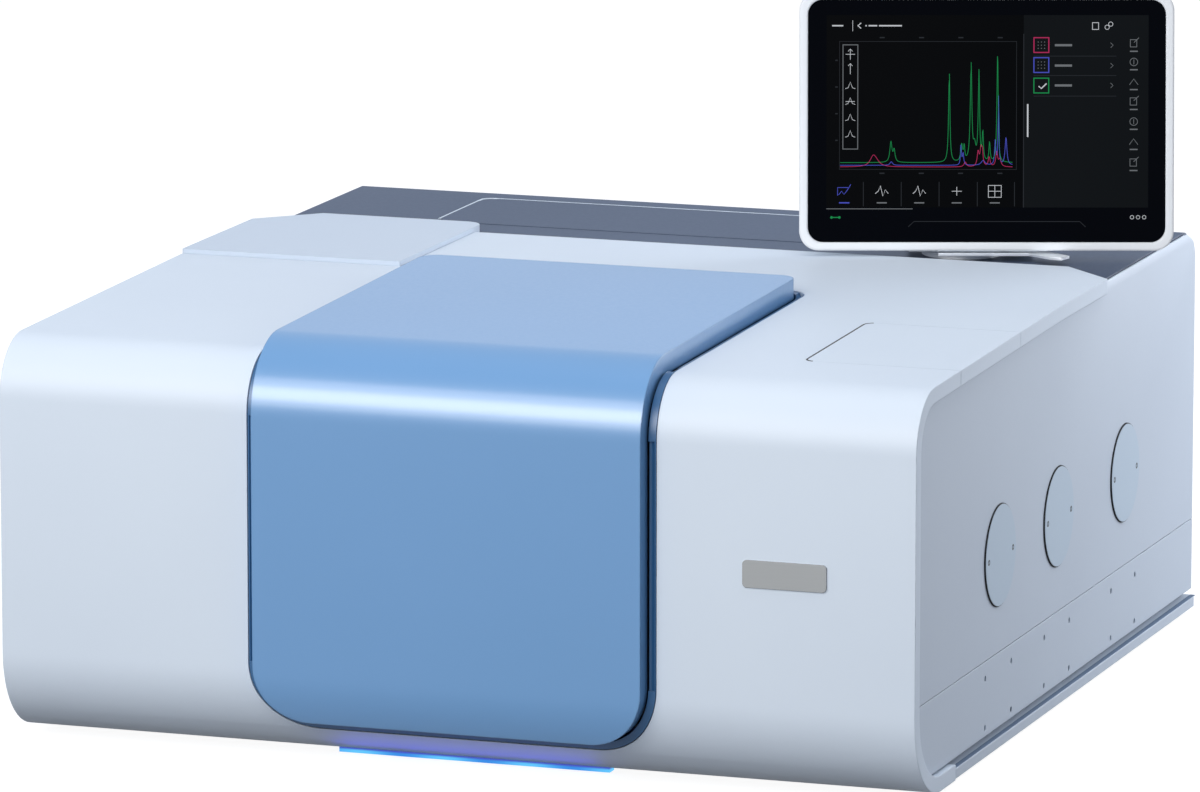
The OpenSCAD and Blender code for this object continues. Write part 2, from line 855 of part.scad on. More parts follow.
module feet() {
    color(liner_black) in_case() for (s = [-1, 1], y = [strip_front_y + 50, case_d - 70])
        translate([s * (half_w - foot_in), y, -foot_h]) {
            cylinder(r1 = foot_d / 2 - 2, r2 = foot_d / 2, h = foot_h);
            cylinder(r = foot_d / 2 - 6, h = foot_h + 1);
        }
}

module light_bar() {
    color("#2f7fe0") in_case() block([-light_w / 2, light_y, -light_drop],
        [light_w / 2, light_y + light_d, shell_wall + 2]);
}

module badge_plate() {
    color("#aab6c2") in_case() translate([241.5, 0, 156]) rotate([90, 0, 0])
        linear_extrude(1.2) round_rect(60, 19, 3);
}

// A sheet that is flat on top and turns down at the back, as a solid set in from its
// outer surface.
module deck_solid(hw, inset, front, low) {
    r = deck_r - inset;
    top = deck_z - inset;
    back = case_d - deck_back_in - inset;
    union() {
        translate([0, back - r, top - r]) rod_x(-hw, hw, r);
        block([-hw, front, low], [hw, back - r, top]);
        block([-hw, front, low], [hw, back, top - r]);
    }
}

// Outline of the deck's service cover, with room for the display's swivel.
module deck_lid_plan(grow) {
    translate([0, (deck_lid_front_y + deck_lid_back_y) / 2]) difference() {
        round_rect(2 * (deck_lid_hw + grow), deck_lid_back_y - deck_lid_front_y + 2 * grow,
            18 + grow);
        translate([display_x, display_y - (deck_lid_front_y + deck_lid_back_y) / 2])
            circle(swivel_r + 3 - grow);
    }
}

module rear_deck() {
    front = roof_back_y + 1;
    low = deck_z - deck_skirt;
    reach = half_w + front - corner_cut + 1;
    color(deck_grey) in_case() difference() {
        union() {
            difference() {
                deck_solid(deck_hw, 0, front, low);
                deck_solid(deck_hw + 1, deck_t, front - 1, low - 1);
            }
            // wings that fill the cut corners of the roof
            translate([0, 0, deck_z - deck_t]) linear_extrude(deck_t)
                polygon([[deck_hw, reach - deck_hw], [deck_hw, front + 1],
                    [reach - front - 1, front + 1]]);
            block([-deck_hw, deck_wing_y, deck_z - deck_t],
                [-half_w + corner_cut + 12, front + 1, deck_z]);
        }
        translate([0, 0, deck_z - deck_lid_sunk]) linear_extrude(10) deck_lid_plan(0);
    }
}

module deck_cover() {
    color(deck_grey) in_case() translate([0, 0, deck_z - deck_lid_sunk])
        linear_extrude(deck_lid_sunk + 0.4) deck_lid_plan(-seam);
}

// The panel is narrower between the lower panels, and the sockets share one cut-out.
module rear_panel() {
    y0 = back_face - back_t;
    low_hw = panel_x - lower_t - seam;
    color(panel_grey) in_case() difference() {
        union() {
            block([-low_hw, y0, strip_h], [low_hw, back_face, panel_seam_z + seam]);
            block([-deck_hw, y0, panel_seam_z + seam],
                [deck_hw, back_face, deck_z - deck_skirt + 12]);
        }
        for (i = [0 : vent_rows - 1], j = [0 : 1])
            block([vent_x + j * (vent_w + vent_gap), y0 - 1, vent_z + i * vent_pitch],
                [vent_x + j * (vent_w + vent_gap) + vent_w, back_face + 1,
                vent_z + i * vent_pitch + vent_h]);
        translate([fan_x, 0, fan_z]) rod_y(y0 - 1, back_face + 1, fan_r + 1);
        block([inlet_x - inlet_hw - opening_clear, y0 - 1, socket_z - socket_hh - opening_clear],
            [data_x0 + data_w + opening_clear, back_face + 1,
            socket_z + socket_hh + opening_clear]);
        for (x = purge_xs) translate([x, 0, socket_z])
            rod_y(y0 - 1, back_face + 1, purge_r + 0.2);
    }
}

module fan_frame() {
    y0 = back_face - back_t;
    color(liner_black) in_case() translate([fan_x, 0, fan_z]) {
        difference() {
            block([-40, y0 - fan_t, -40], [40, y0, 40]);
            rod_y(y0 - fan_t - 1, y0 + 1, fan_r);
        }
        // guard rings and spokes in the opening, and the motor's boss
        difference() {
            union() {
                for (r = [12, 20, 28]) difference() {
                    rod_y(y0 - 2, y0, r + 1);
                    rod_y(y0 - 3, y0 + 1, r - 1);
                }
                for (a = [45, 135]) rotate([0, a, 0])
                    block([-fan_r - 1, y0 - 2, -1.5], [fan_r + 1, y0, 1.5]);
                rod_y(y0 - 6, y0, 10);
            }
            rod_y(y0 - 7, y0 - 1, fan_pin_r);
        }
    }
    color(steel) in_case() translate([fan_x, 0, fan_z])
        rod_y(y0 - fan_t + 2, y0 - 1, fan_pin_r);
}

module fan_rotor() {
    y0 = back_face - back_t;
    color(liner_black) in_case() translate([fan_x, 0, fan_z]) difference() {
        union() {
            rod_y(y0 - 22, y0 - 7, 13);
            for (a = [0 : 60 : 359]) rotate([0, a, 0])
                translate([12, y0 - 14.5, 0]) rotate([32, 0, 0])
                    block([0, -1, -7], [fan_r - 15, 1, 7]);
        }
        rod_y(y0 - fan_t, y0 - 4, fan_pin_r + pin_clear);
    }
}

module mains_inlet() {
    high = socket_hh + flange_edge;
    color(liner_black) in_case() translate([inlet_x, back_face, socket_z]) difference() {
        union() {
            block([-inlet_hw - flange_edge, 0, -high], [inlet_hw + flange_edge, flange_t,
                high]);
            block([-inlet_hw, -28, -socket_hh], [inlet_hw, 1, socket_hh]);
        }
        block([-inlet_hw + 3, -18, -socket_hh + 3], [inlet_hw - 3, 3, socket_hh - 3]);
    }
    color(steel) in_case() translate([inlet_x, back_face, socket_z]) for (i = [-1, 0, 1])
        block([i * 7 - 1, -18, i == 0 ? 1 : -4], [i * 7 + 1, -4, i == 0 ? 5 : 0]);
}

module switch_frame() {
    high = socket_hh + flange_edge;
    color(liner_black) in_case() translate([switch_x, back_face, socket_z]) difference() {
        union() {
            block([-switch_hw - flange_edge, 0, -high], [switch_hw + flange_edge, flange_t,
                high]);
            block([-switch_hw, -20, -socket_hh], [switch_hw, 1, socket_hh]);
        }
        block([-rocker_hw - 0.3, -rocker_r - 0.5, -rocker_r - 0.4],
            [rocker_hw + 0.3, 3, rocker_r + 0.4]);
        rod_x(-rocker_hw - 1.5, rocker_hw + 1.5, rocker_pin_r + pin_clear);
    }
}

module power_switch() {
    color("#3c4047") in_case() translate([switch_x, back_face, socket_z]) union() {
        intersection() {
            rod_x(-rocker_hw, rocker_hw, rocker_r);
            block([-rocker_hw - 1, -rocker_r, -rocker_r], [rocker_hw + 1, 3, rocker_r]);
        }
        rod_x(-rocker_hw - 1.2, rocker_hw + 1.2, rocker_pin_r);
    }
}

// Four sockets side by side; each has its own shell and flange.
module data_sockets() {
    high = socket_hh + flange_edge;
    last = len(data_mouths) - 1;
    color(steel) in_case() translate([data_x0, back_face, socket_z]) for (i = [0 : last]) {
        mouth = data_mouths[i];
        x0 = data_cuts[i] + (i == 0 ? 0 : seam / 2);
        x1 = data_cuts[i + 1] - (i == last ? 0 : seam / 2);
        difference() {
            union() {
                block([x0, -data_deep, -socket_hh], [x1, 1, socket_hh]);
                block([i == 0 ? x0 - flange_edge : x0, 0, -high],
                    [i == last ? x1 + flange_edge : x1, flange_t, high]);
            }
            block([mouth[0], -mouth[3], -mouth[2]], [mouth[0] + mouth[1], flange_t + 1,
                mouth[2]]);
        }
    }
}

module purge_fittings() {
    color(brass) in_case() for (x = purge_xs) translate([x, 0, socket_z]) difference() {
        union() {
            rod_y(back_face - 10, back_face + 1, purge_r);
            rod_y(back_face, back_face + 6, purge_r + 3, $fn = 6);
            rod_y(back_face + 5, case_d + fitting_out, purge_r - 1);
        }
        rod_y(back_face - 11, case_d + fitting_out + 1, 2);
    }
}

module sample_tub() {
    out = tub_side + tub_t;
    edge = lid_hw + cut_grow - 1;
    color(liner_black) in_case() difference() {
        union() {
            difference() {
                intersection() {
                    wrap(-out, out, tub_in, roof_back_y);
                    block([-out - 1, -1, tub_floor - tub_t],
                        [out + 1, tub_back + tub_t, roof_z]);
                }
                // the lower corners end behind the frame band
                difference() {
                    skin(-out - 2, out + 2, -1, flange_in, roof_back_y);
                    lid_zone(lid_gap - seam);
                }
            }
            // flanges behind the frame band
            for (x = [-edge, out - 1]) {
                block([x, flange_in, front_bottom_r + 8],
                    [x + edge - out + 1, flange_in + tub_t, top_c_z - 8]);
                roof_plate(x, x + edge - out + 1, top_c_y + 8, tub_back,
                    flange_in + seat_gap, flange_in + tub_t);
            }
            for (x = [-110, 90], y = [bench_front_y + 20, tub_back - 40])
                block([x, y, bench_top], [x + 20, y + 20, tub_floor - 1]);
        }
        block([-tub_side, -20, tub_floor], [tub_side, tub_back, roof_z + 10]);
        for (x = [-out - 1, tub_side - 1]) translate([0, beam_y, beam_z])
            rod_x(x, x + tub_t + 2, window_r + 4);
    }
}

module window_rings() {
    color(steel) in_case() mirror_x() translate([tub_side, beam_y, beam_z]) difference() {
        union() {
            rod_x(-3, 0, window_r + 8);
            rod_x(-1, 8, window_r + 3.7);
        }
        rod_x(-4, 9, window_r - 2);
        rod_x(1, 1 + window_t, window_r + 0.2);
    }
}

module beam_windows() {
    color("#cfe3ea") in_case() mirror_x() translate([tub_side, beam_y, beam_z])
        rod_x(1, 1 + window_t, window_r);
}

module sample_rail() {
    color(steel) in_case() difference() {
        union() {
            block([-rail_hw, beam_y - rail_reach, tub_floor],
                [rail_hw, beam_y + rail_reach, tub_floor + rail_t]);
            for (s = [-1, 1]) block([20 - rail_hw, beam_y + s * 62 - 5, tub_floor + rail_t],
                [rail_hw - 20, beam_y + s * 62 + 5, tub_floor + rail_t + 6]);
        }
        for (x = [-60, -30, 30, 60], y = [-40, 0, 40])
            translate([x, beam_y + y, tub_floor - 1]) cylinder(r = 2.5, h = 20);
    }
}

module sample_holder() {
    floor_z = tub_floor + rail_t;
    room = card_t / 2 + card_clear;
    color("#3b3f45") in_case() difference() {
        union() {
            block([-22, beam_y - 50, floor_z], [22, beam_y + 50, floor_z + 8]);
            block([-8, beam_y - card_w / 2 - 10.5, floor_z + 8],
                [8, beam_y + card_w / 2 + 10.5, beam_z + 32]);
        }
        // the slide's channel, open at the top
        block([-room, beam_y - card_w / 2 - card_clear, card_bottom],
            [room, beam_y + card_w / 2 + card_clear, beam_z + 40]);
        translate([0, beam_y, beam_z]) rod_x(-10, 10, 17);
    }
}

module sample_slide() {
    color(steel) in_case() difference() {
        block([-card_t / 2, beam_y - card_w / 2, card_bottom],
            [card_t / 2, beam_y + card_w / 2, card_bottom + card_h]);
        translate([0, beam_y, beam_z]) rod_x(-3, 3, 10);
    }
}

module optical_bench() {
    pitch_x = (2 * bench_hw - bench_rib) / 7;
    pitch_y = (bench_back_y - bench_front_y - bench_rib) / 5;
    color(cast_grey) in_case() difference() {
        block([-bench_hw, bench_front_y, strip_h], [bench_hw, bench_back_y, bench_top]);
        // pockets between the ribs of the casting
        for (i = [0 : 6], j = [0 : 4])
            block([-bench_hw + bench_rib + i * pitch_x, bench_front_y + bench_rib + j * pitch_y,
                strip_h - 1], [-bench_hw + (i + 1) * pitch_x,
                bench_front_y + (j + 1) * pitch_y, bench_top - bench_rib]);
    }
}

module beamsplitter_bay() {
    y0 = crease_y + 8;
    y1 = deck_wing_y - 4;
    z1 = roof_z - lip_depth - 1;
    color(liner_black) in_case() union() {
        difference() {
            block([bay_x0, y0, bay_floor_z - bay_wall], [bay_x1, y1, z1]);
            block([bay_x0 + bay_wall, y0 + bay_wall, bay_floor_z],
                [bay_x1 - bay_wall, y1 - bay_wall, z1 + 1]);
        }
        for (x = [4 - bench_hw, bay_x1 - 20], y = [y0 + 10, y1 - 20])
            block([x, y, bench_top], [x + 10, y + 10, bay_floor_z - bay_wall + 1]);
    }
}

module beamsplitter() {
    y_mid = (crease_y + deck_wing_y) / 2 + 2;
    ring_z = bay_floor_z + splitter_r + 8;
    color("#8f949b") in_case() translate([(bay_x0 + bay_x1) / 2, y_mid, 0]) union() {
        block([-34, -14, bay_floor_z], [34, 14, bay_floor_z + 12]);
        difference() {
            translate([0, 0, ring_z]) rod_y(-8, 8, splitter_r);
            for (s = [-1, 1]) translate([0, s * 5.75, ring_z])
                rod_y(-3.25, 3.25, splitter_r - 10);
        }
        // lifting handle
        for (s = [-1, 1])
            block([s * 22 - 3, -4, ring_z + 20], [s * 22 + 3, 4, ring_z + splitter_r + 18]);
        block([-25, -4, ring_z + splitter_r + 12], [25, 4, ring_z + splitter_r + 18]);
    }
}

module fixed_mirror() {
    color(steel) in_case() translate([left_mid_x + 20, mirror_y, bench_top]) union() {
        block([-35, -20, 0], [35, 20, 8]);
        block([-30, -6, 7], [30, 6, mirror_h]);
        translate([0, 0, mirror_h - mirror_r - 9]) rod_y(-12, -5, mirror_r);
    }
}

module mirror_guide() {
    color(cast_grey) in_case() translate([guide_x, guide_y, bench_top]) difference() {
        union() {
            block([-60, -40, 0], [60, 40, 10]);
            for (s = [-1, 1]) block([s * 52 - 8, -30, 9], [s * 52 + 8, 30, guide_h + 21]);
        }
        translate([0, 0, guide_h]) rod_x(-61, 61, guide_rod_r + pin_clear);
    }
}

module moving_mirror() {
    color(steel) in_case() translate([guide_x, guide_y, bench_top + guide_h]) union() {
        rod_x(-66 - mirror_travel, 66 + mirror_travel, guide_rod_r);
        rod_x(-78 - mirror_travel, -66 - mirror_travel, 25);
        rod_x(-30, 30, 14);
    }
}

module laser_tube() {
    color("#9aa0a8") in_case() translate([0, laser_y, bench_top]) union() {
        translate([0, 0, laser_h]) rod_x(laser_x0, laser_x1 - 12, laser_r);
        translate([0, 0, laser_h]) rod_x(laser_x1 - 13, laser_x1, laser_r / 2);
        for (x = [laser_x0 + 20, laser_x1 - 60])
            block([x - 8, -laser_r - 5, 0], [x + 8, laser_r + 5, laser_h]);
    }
}

module source_housing() {
    h = beam_z - bench_top;
    color("#6b7078") in_case() translate([source_x, source_y, bench_top]) difference() {
        union() {
            block([-source_hw, 2 - source_hw, 0], [source_hw, source_hw - 2, source_h]);
            for (i = [0 : 6]) block([1 - source_hw, 6 - source_hw + i * 11, 20],
                [source_hw + 4, 10 - source_hw + i * 11, source_h - 10]);
            // axle and head that carry the aperture wheel
            translate([0, 0, h - wheel_pitch_r]) {
                rod_x(-source_hw - 32, 1 - source_hw, wheel_pin_r);
                rod_x(-source_hw - 35, -source_hw - 32, wheel_pin_r + 3);
            }
        }
        translate([0, 0, h]) rod_x(-source_hw - 20, 0, 14);
    }
}

module aperture_wheel() {
    color("#3b3f45") in_case()
        translate([source_x - source_hw - 20, source_y, beam_z - wheel_pitch_r])
            difference() {
                union() {
                    rod_x(-2, 2, wheel_pitch_r + 14);
                    rod_x(-8, 8, 7);
                }
                for (i = [0 : aperture_count - 1])
                    rotate([i * 360 / aperture_count, 0, 0])
                        translate([0, 0, wheel_pitch_r]) rod_x(-3, 3, 3 + i);
                rod_x(-9, 9, wheel_pin_r + pin_clear);
            }
}

module focus_mirrors() {
    h = beam_z - bench_top;
    color(steel) in_case() mirror_x() translate([focus_x, beam_y - 8, bench_top]) union() {
        block([-24, -24, 0], [24, 24, 8]);
        block([-8, -8, 7], [8, 8, h - 20]);
        translate([0, 0, h]) rotate([0, 0, 35]) difference() {
            rod_x(-10, 6, focus_r);
            rod_x(-11, -8, focus_r - 3);
        }
    }
}

module detector() {
    h = beam_z - bench_top;
    color(steel) in_case() translate([detector_x, detector_y, bench_top]) union() {
        cylinder(r = detector_r + 4, h = 12);
        cylinder(r = detector_r, h = detector_h);
        translate([0, 0, detector_h]) cylinder(r1 = detector_r, r2 = 12, h = 14);
        translate([0, 0, h]) cylinder(r = 12, h = detector_h + 44 - h);
        translate([0, 0, h]) rod_x(0, detector_r + 12, 16);
    }
}

module control_board() {
    color("#2f6b4a") in_case() translate([board_x, board_y, bench_top]) union() {
        block([0, 0, 15], [board_w, board_t, board_h + 15]);
        for (i = [0 : 3], j = [0 : 2])
            translate([16 + i * chip_pitch, 0, 32 + j * (chip_pitch - 6)])
                block([0, -4, 0], [chip_pitch / 2, 1, chip_pitch / 2]);
        for (x = [0, board_w - 12]) block([x, 0, 0], [x + 12, 12, 16]);
    }
}

module power_supply() {
    color(steel) in_case() translate([supply_x, supply_y, strip_h]) difference() {
        block([0, 0, 0], [supply_w, supply_d, supply_h]);
        for (i = [0 : 8]) block([10 + i * 13, -1, 20], [16 + i * 13, 3, supply_h - 20]);
    }
}

// The bay is bolted to the front post of the side frame.
module desiccant_bay() {
    color(liner_black) in_case() difference() {
        block([cart_x - cartridge_r - 8, hatch_front_y + 6, cart_floor - 4],
            [frame_x0, hatch_back_y - 6, cart_floor + cart_h]);
        for (s = [-1, 1]) translate([cart_x, hatch_mid_y + s * cart_pitch / 2, cart_floor])
            cylinder(r = cartridge_r + cart_clear, h = 2 * cart_h);
    }
}

module desiccant_cartridges() {
    color("#c9ccd0") in_case() for (s = [-1, 1])
        translate([cart_x, hatch_mid_y + s * cart_pitch / 2, cart_floor]) union() {
            cylinder(r = cartridge_r, h = cart_h - 2);
            cylinder(r = 8, h = cart_h + 4);
        }
}

// The display's own frame: origin on the swivel axis at deck height, turned to the right.
module at_swivel() {
    in_case() translate([display_x, display_y, deck_z]) rotate([0, 0, display_turn])
        children();
}

module at_tilt() {
    at_swivel() translate([0, 0, tilt_z]) rotate([-display_lean, 0, 0]) children();
}

module display_swivel() {
    color(steel) at_swivel() union() {
        cylinder(r = swivel_r, h = swivel_t);
        cylinder(r = swivel_pin_r, h = swivel_t + stand_lift + stand_t);
    }
}

module display_stand() {
    z0 = swivel_t + stand_lift;
    z1 = z0 + stand_t;
    color("#c4c8cc") at_swivel() difference() {
        union() {
            block([-40, -20, z0], [51, 20, z1]);
            block([-19, -39, z0], [51, -19, z1]);
            // toe at the front right
            translate([0, 0, z0]) linear_extrude(stand_t) polygon([[44, -36], [50, -20],
                [59, -25], [76, -49], [70, -58], [62, -55]]);
            for (s = [-1, 1]) {
                across(s * 30 - 5, s * 30 + 5) polygon([[-8, z1 - 1], [12, z1 - 1],
                    [tilt_eye_r, tilt_z], [-tilt_eye_r, tilt_z]]);
                translate([0, 0, tilt_z]) rod_x(s * 30 - 5, s * 30 + 5, tilt_eye_r);
            }
        }
        translate([0, 0, tilt_z]) rod_x(-40, 40, tilt_pin_r);
        translate([0, 0, -1]) cylinder(r = swivel_pin_r + pin_clear, h = z1 + 2);
    }
}

module display_tilt_pin() {
    color(steel) at_swivel() translate([0, 0, tilt_z]) rod_x(-38, 38, tilt_pin_r);
}

module display_housing() {
    mid = display_low + display_h / 2;
    color("#d9dcde") at_tilt() difference() {
        union() {
            translate([display_off, display_face_y + display_t, mid]) rotate([90, 0, 0])
                linear_extrude(display_t) round_rect(display_w, display_h, display_r);
            translate([display_off, display_face_y + display_t + display_back_t, mid])
                rotate([90, 0, 0]) linear_extrude(display_back_t + 1)
                    round_rect(display_w - 60, display_h - 50, 10);
            for (s = [-1, 1]) translate([s * 17 - 7, 0, 0]) {
                rod_x(0, 14, tilt_eye_r);
                block([0, -12, -tilt_eye_r], [14, 0, tilt_eye_r]);
            }
        }
        rod_x(-40, 40, tilt_pin_r + pin_clear);
        translate([display_off, display_face_y + glass_seat, mid]) rotate([90, 0, 0])
            linear_extrude(glass_seat + 2) round_rect(display_w - 2 * display_rim,
                display_h - 2 * display_rim, display_r - display_rim / 2);
    }
}

module display_glass() {
    color("#0b0d12") at_tilt()
        translate([display_off, display_face_y + glass_seat, display_low + display_h / 2])
            rotate([90, 0, 0]) linear_extrude(glass_t)
                round_rect(display_w - 2 * (display_rim + glass_clear),
                    display_h - 2 * (display_rim + glass_clear),
                    display_r - display_rim / 2 - glass_clear);
}

front_shell();
sample_lid();
sample_frame();
lid_hinge_brackets();
lid_hinge_pins();
left_cover();
left_cover_bracket();
left_cover_pin();
service_hatch();
hatch_ledge();
side_panel_right();
side_panel_left();
lower_panel_right();
lower_panel_left();
side_frame_right();
side_frame_left();
port_covers();
port_screws();
base_tray();
base_strip_right();
base_strip_left();
feet();
light_bar();
badge_plate();
rear_deck();
deck_cover();
rear_panel();
fan_frame();
fan_rotor();
mains_inlet();
switch_frame();
power_switch();
data_sockets();
purge_fittings();
sample_tub();
window_rings();
beam_windows();
sample_rail();
sample_holder();
sample_slide();
optical_bench();
beamsplitter_bay();
beamsplitter();
fixed_mirror();
mirror_guide();
moving_mirror();
laser_tube();
source_housing();
aperture_wheel();
focus_mirrors();
detector();
control_board();
power_supply();
desiccant_bay();
desiccant_cartridges();
display_swivel();
display_stand();
display_tilt_pin();
display_housing();
display_glass();
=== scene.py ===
import math

import bmesh
import bpy
from mathutils import Matrix, Vector


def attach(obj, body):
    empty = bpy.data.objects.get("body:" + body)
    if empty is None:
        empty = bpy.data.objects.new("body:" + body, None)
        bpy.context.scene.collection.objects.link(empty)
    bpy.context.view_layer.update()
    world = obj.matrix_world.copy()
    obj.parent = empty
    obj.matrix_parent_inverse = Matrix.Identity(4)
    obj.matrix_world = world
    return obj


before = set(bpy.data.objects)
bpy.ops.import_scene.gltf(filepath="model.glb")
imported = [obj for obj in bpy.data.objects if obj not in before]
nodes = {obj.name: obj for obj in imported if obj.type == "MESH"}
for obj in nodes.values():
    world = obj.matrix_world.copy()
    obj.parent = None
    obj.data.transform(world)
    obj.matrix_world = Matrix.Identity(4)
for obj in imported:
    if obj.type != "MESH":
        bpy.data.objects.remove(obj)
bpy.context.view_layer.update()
caseOrigin = Vector((-0.0093423, -0.3565, 0.005))  # front face and strip bottom, in the model
print("frame loaded:", len(nodes), "nodes")


# small helpers
def hexColour(text):
    parts = [int(text[i:i + 2], 16) / 255 for i in (1, 3, 5)]
    linear = [p / 12.92 if p <= 0.04045 else ((p + 0.055) / 1.055) ** 2.4 for p in parts]
    return (*linear, 1.0)


def addNode(tree, kind, settings=None, links=None):
    made = tree.nodes.new(kind)
    for key, value in (settings or {}).items():
        if isinstance(key, int) or key in made.inputs:
            made.inputs[key].default_value = value
        else:
            setattr(made, key, value)
    for key, source in (links or {}).items():
        tree.links.new(source, made.inputs[key])
    return made


def startMaterial(name, settings):
    made = bpy.data.materials.new(name)
    made.use_nodes = True
    made.node_tree.nodes.clear()
    shader = addNode(made.node_tree, "ShaderNodeBsdfPrincipled", settings)
    addNode(made.node_tree, "ShaderNodeOutputMaterial", None,
            {"Surface": shader.outputs["BSDF"]})
    return made, made.node_tree, shader


def addHaze(tree, shader, scale, detail, low, high):
    # uneven roughness, from low to high, in patches of about 1 / scale metres
    where = addNode(tree, "ShaderNodeTexCoord").outputs["Object"]
    haze = addNode(tree, "ShaderNodeTexNoise", {"Scale": scale, "Detail": detail},
                   {"Vector": where})
    rough = addNode(tree, "ShaderNodeMapRange", {"To Min": low, "To Max": high},
                    {"Value": haze.outputs["Fac"]})
    tree.links.new(rough.outputs["Result"], shader.inputs["Roughness"])


def caseFrame(x, y, z):
    # millimetres: x from the middle, y from the front face, z from the base strips' bottom
    return caseOrigin + Vector((x, y, z)) / 1000


def addBlock(bm, low, high, place):
    corners = [bm.verts.new(place(x, y, z)) for x in (low[0], high[0])
               for y in (low[1], high[1]) for z in (low[2], high[2])]
    for face in ((0, 1, 3, 2), (4, 6, 7, 5), (0, 4, 5, 1), (2, 3, 7, 6), (0, 2, 6, 4),
                 (1, 5, 7, 3)):
        bm.faces.new([corners[i] for i in face])


def addTurned(bm, profile, place, steps=32):
    # profile: (radius, height) pairs, from axis to axis, or round to the first pair again
    rings = []
    for radius, height in profile:
        if radius == 0:
            rings.append([bm.verts.new(place(0, 0, height))])
        else:
            rings.append([bm.verts.new(place(radius * math.cos(2 * math.pi * i / steps),
                                             radius * math.sin(2 * math.pi * i / steps),
                                             height)) for i in range(steps)])
    for a, b in zip(rings, rings[1:]):
        for i in range(steps):
            j = (i + 1) % steps
            loop = [a[i % len(a)], a[j % len(a)], b[j % len(b)], b[i % len(b)]]
            loop = list(dict.fromkeys(loop))
            if len(loop) > 2:
                bm.faces.new(loop)


smoothing = {"pieceAngle": 35, "cadAngle": 26, "weld": 0.000005}  # degrees, degrees, metres


def makePiece(name, build, finish, body, bevel=0.0, smooth=False):
    # bevel in millimetres
    bm = bmesh.new()
    build(bm)
    bmesh.ops.recalc_face_normals(bm, faces=bm.faces)
    mesh = bpy.data.meshes.new(name)
    bm.to_mesh(mesh)
    bm.free()
    piece = bpy.data.objects.new(name, mesh)
    bpy.context.scene.collection.objects.link(piece)
    mesh.materials.append(finish)
    if smooth:
        for face in mesh.polygons:
            face.use_smooth = True
        mesh.set_sharp_from_angle(angle=math.radians(smoothing["pieceAngle"]))
    if bevel:
        edge = piece.modifiers.new("edge", "BEVEL")
        edge.width = bevel / 1000
        edge.segments = 2
        edge.limit_method = "ANGLE"
    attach(piece, body)
    return piece


# materials
# Two looks repeat: a moulded or powder-coated skin with a fine grain, and a metal with
# brush or mill marks. Both take their numbers from one dictionary for each finish.
skinFinishes = {
    # Moulded polycarbonate blend with a satin lacquer: a soft wide highlight.
    "mouldedShell": {"base": "#d0dae5", "shade": "#ccd6e2", "rough": 0.5, "grain": 3.0,
                     "bump": 0.048, "edge": 1.0, "specular": 0.35},
    # The rear cover of the same plastic, from another mould: a touch darker.
    "mouldedCover": {"base": "#c4cfdc", "shade": "#c0cbd9", "rough": 0.5, "grain": 3.0,
                     "bump": 0.048, "edge": 1.0, "specular": 0.35},
    # The same moulding in blue, a little glossier.
    "mouldedLid": {"base": "#6593c2", "shade": "#6190be", "rough": 0.36, "grain": 3.0,
                   "bump": 0.04, "edge": 1.6, "coat": 0.7, "coatRough": 0.18},
    # Frame band round the lid: the same plastic in a deeper blue.
    "mouldedBand": {"base": "#2f5f8a", "shade": "#2b5982", "rough": 0.36, "grain": 3.0,
                    "bump": 0.04, "edge": 0.8, "coat": 0.1},
    # Powder coat on sheet steel: orange peel of about 2 to 3 mm, dull highlight.
    "powderPanel": {"base": "#bcc6d2", "shade": "#b7c1ce", "rough": 0.5, "grain": 2.5,
                    "bump": 0.08, "edge": 0.8},
    # Port covers: the same coat, a little bluer.
    "powderCap": {"base": "#b4c4d2", "shade": "#b0c0cf", "rough": 0.5, "grain": 2.5,
                  "bump": 0.08, "edge": 0.2},
    # Rear deck: dark blue-grey powder coat.
    "powderDeck": {"base": "#3f4b60", "shade": "#3b475b", "rough": 0.5, "grain": 2.5,
                   "bump": 0.08, "edge": 0.8, "specular": 0.35},
    # Dark band on top of the base strips, painted shadow of the gap under the lower panels;
    # textured, a shade lighter than the deck.
    "ledgeShadowPaint": {"base": "#5d6f85", "shade": "#58697f", "rough": 0.6, "grain": 2.0,
                    "bump": 0.12, "edge": 0.1, "specular": 0.3},
    # Pale bead round the deck cover: painted highlight along the cover's edge, slightly waxy.
    "deckEdgeHighlight": {"base": "#ccd6df", "shade": "#c2cdd8", "rough": 0.4, "grain": 2.0,
                     "bump": 0.04, "edge": 0.3},
    # Base tray: plain grey powder coat.
    "powderTray": {"base": "#8b939d", "shade": "#838b95", "rough": 0.55, "grain": 2.5,
                   "bump": 0.12, "edge": 0.6},
    # Black powder coat inside the compartments, dull so that stray light dies.
    "powderBlack": {"base": "#26292e", "shade": "#1f2226", "rough": 0.6, "grain": 2.5,
                    "bump": 0.12, "edge": 0.6},
    # Glass-filled nylon, spark-eroded mould texture; on the display's back it also paints the
    # shade inside the vent slots.
    "blackNylonAndVentShade": {"base": "#17181b", "shade": "#202226", "rough": 0.55, "grain": 1.5,
                   "bump": 0.2, "edge": 0.4},
    # Natural rubber of the feet: matt, slightly dusty. The same black makes the dark rings under
    # the port covers and paints the shadow in the hatch's seam.
    "blackRubberAndSeamShade": {"base": "#101113", "shade": "#1b1c1f", "rough": 0.8, "grain": 2.0,
                   "bump": 0.2, "edge": 0.8},
    # White lacquered housing of the display.
    "displayLacquer": {"base": "#e9ebee", "shade": "#e4e7ea", "rough": 0.34, "grain": 4.0,
                       "bump": 0.012, "edge": 2.8, "coat": 0.1},
    # Solder mask over copper.
    "solderMask": {"base": "#1d5a3c", "shade": "#256a48", "rough": 0.35, "grain": 6.0,
                   "bump": 0.08, "edge": 0.3},
    # Polypropylene cartridge, waxy and pale.
    "cartridgePlastic": {"base": "#d5d8dc", "shade": "#cbcfd4", "rough": 0.42, "grain": 3.0,
                         "bump": 0.04, "edge": 0.6},
}
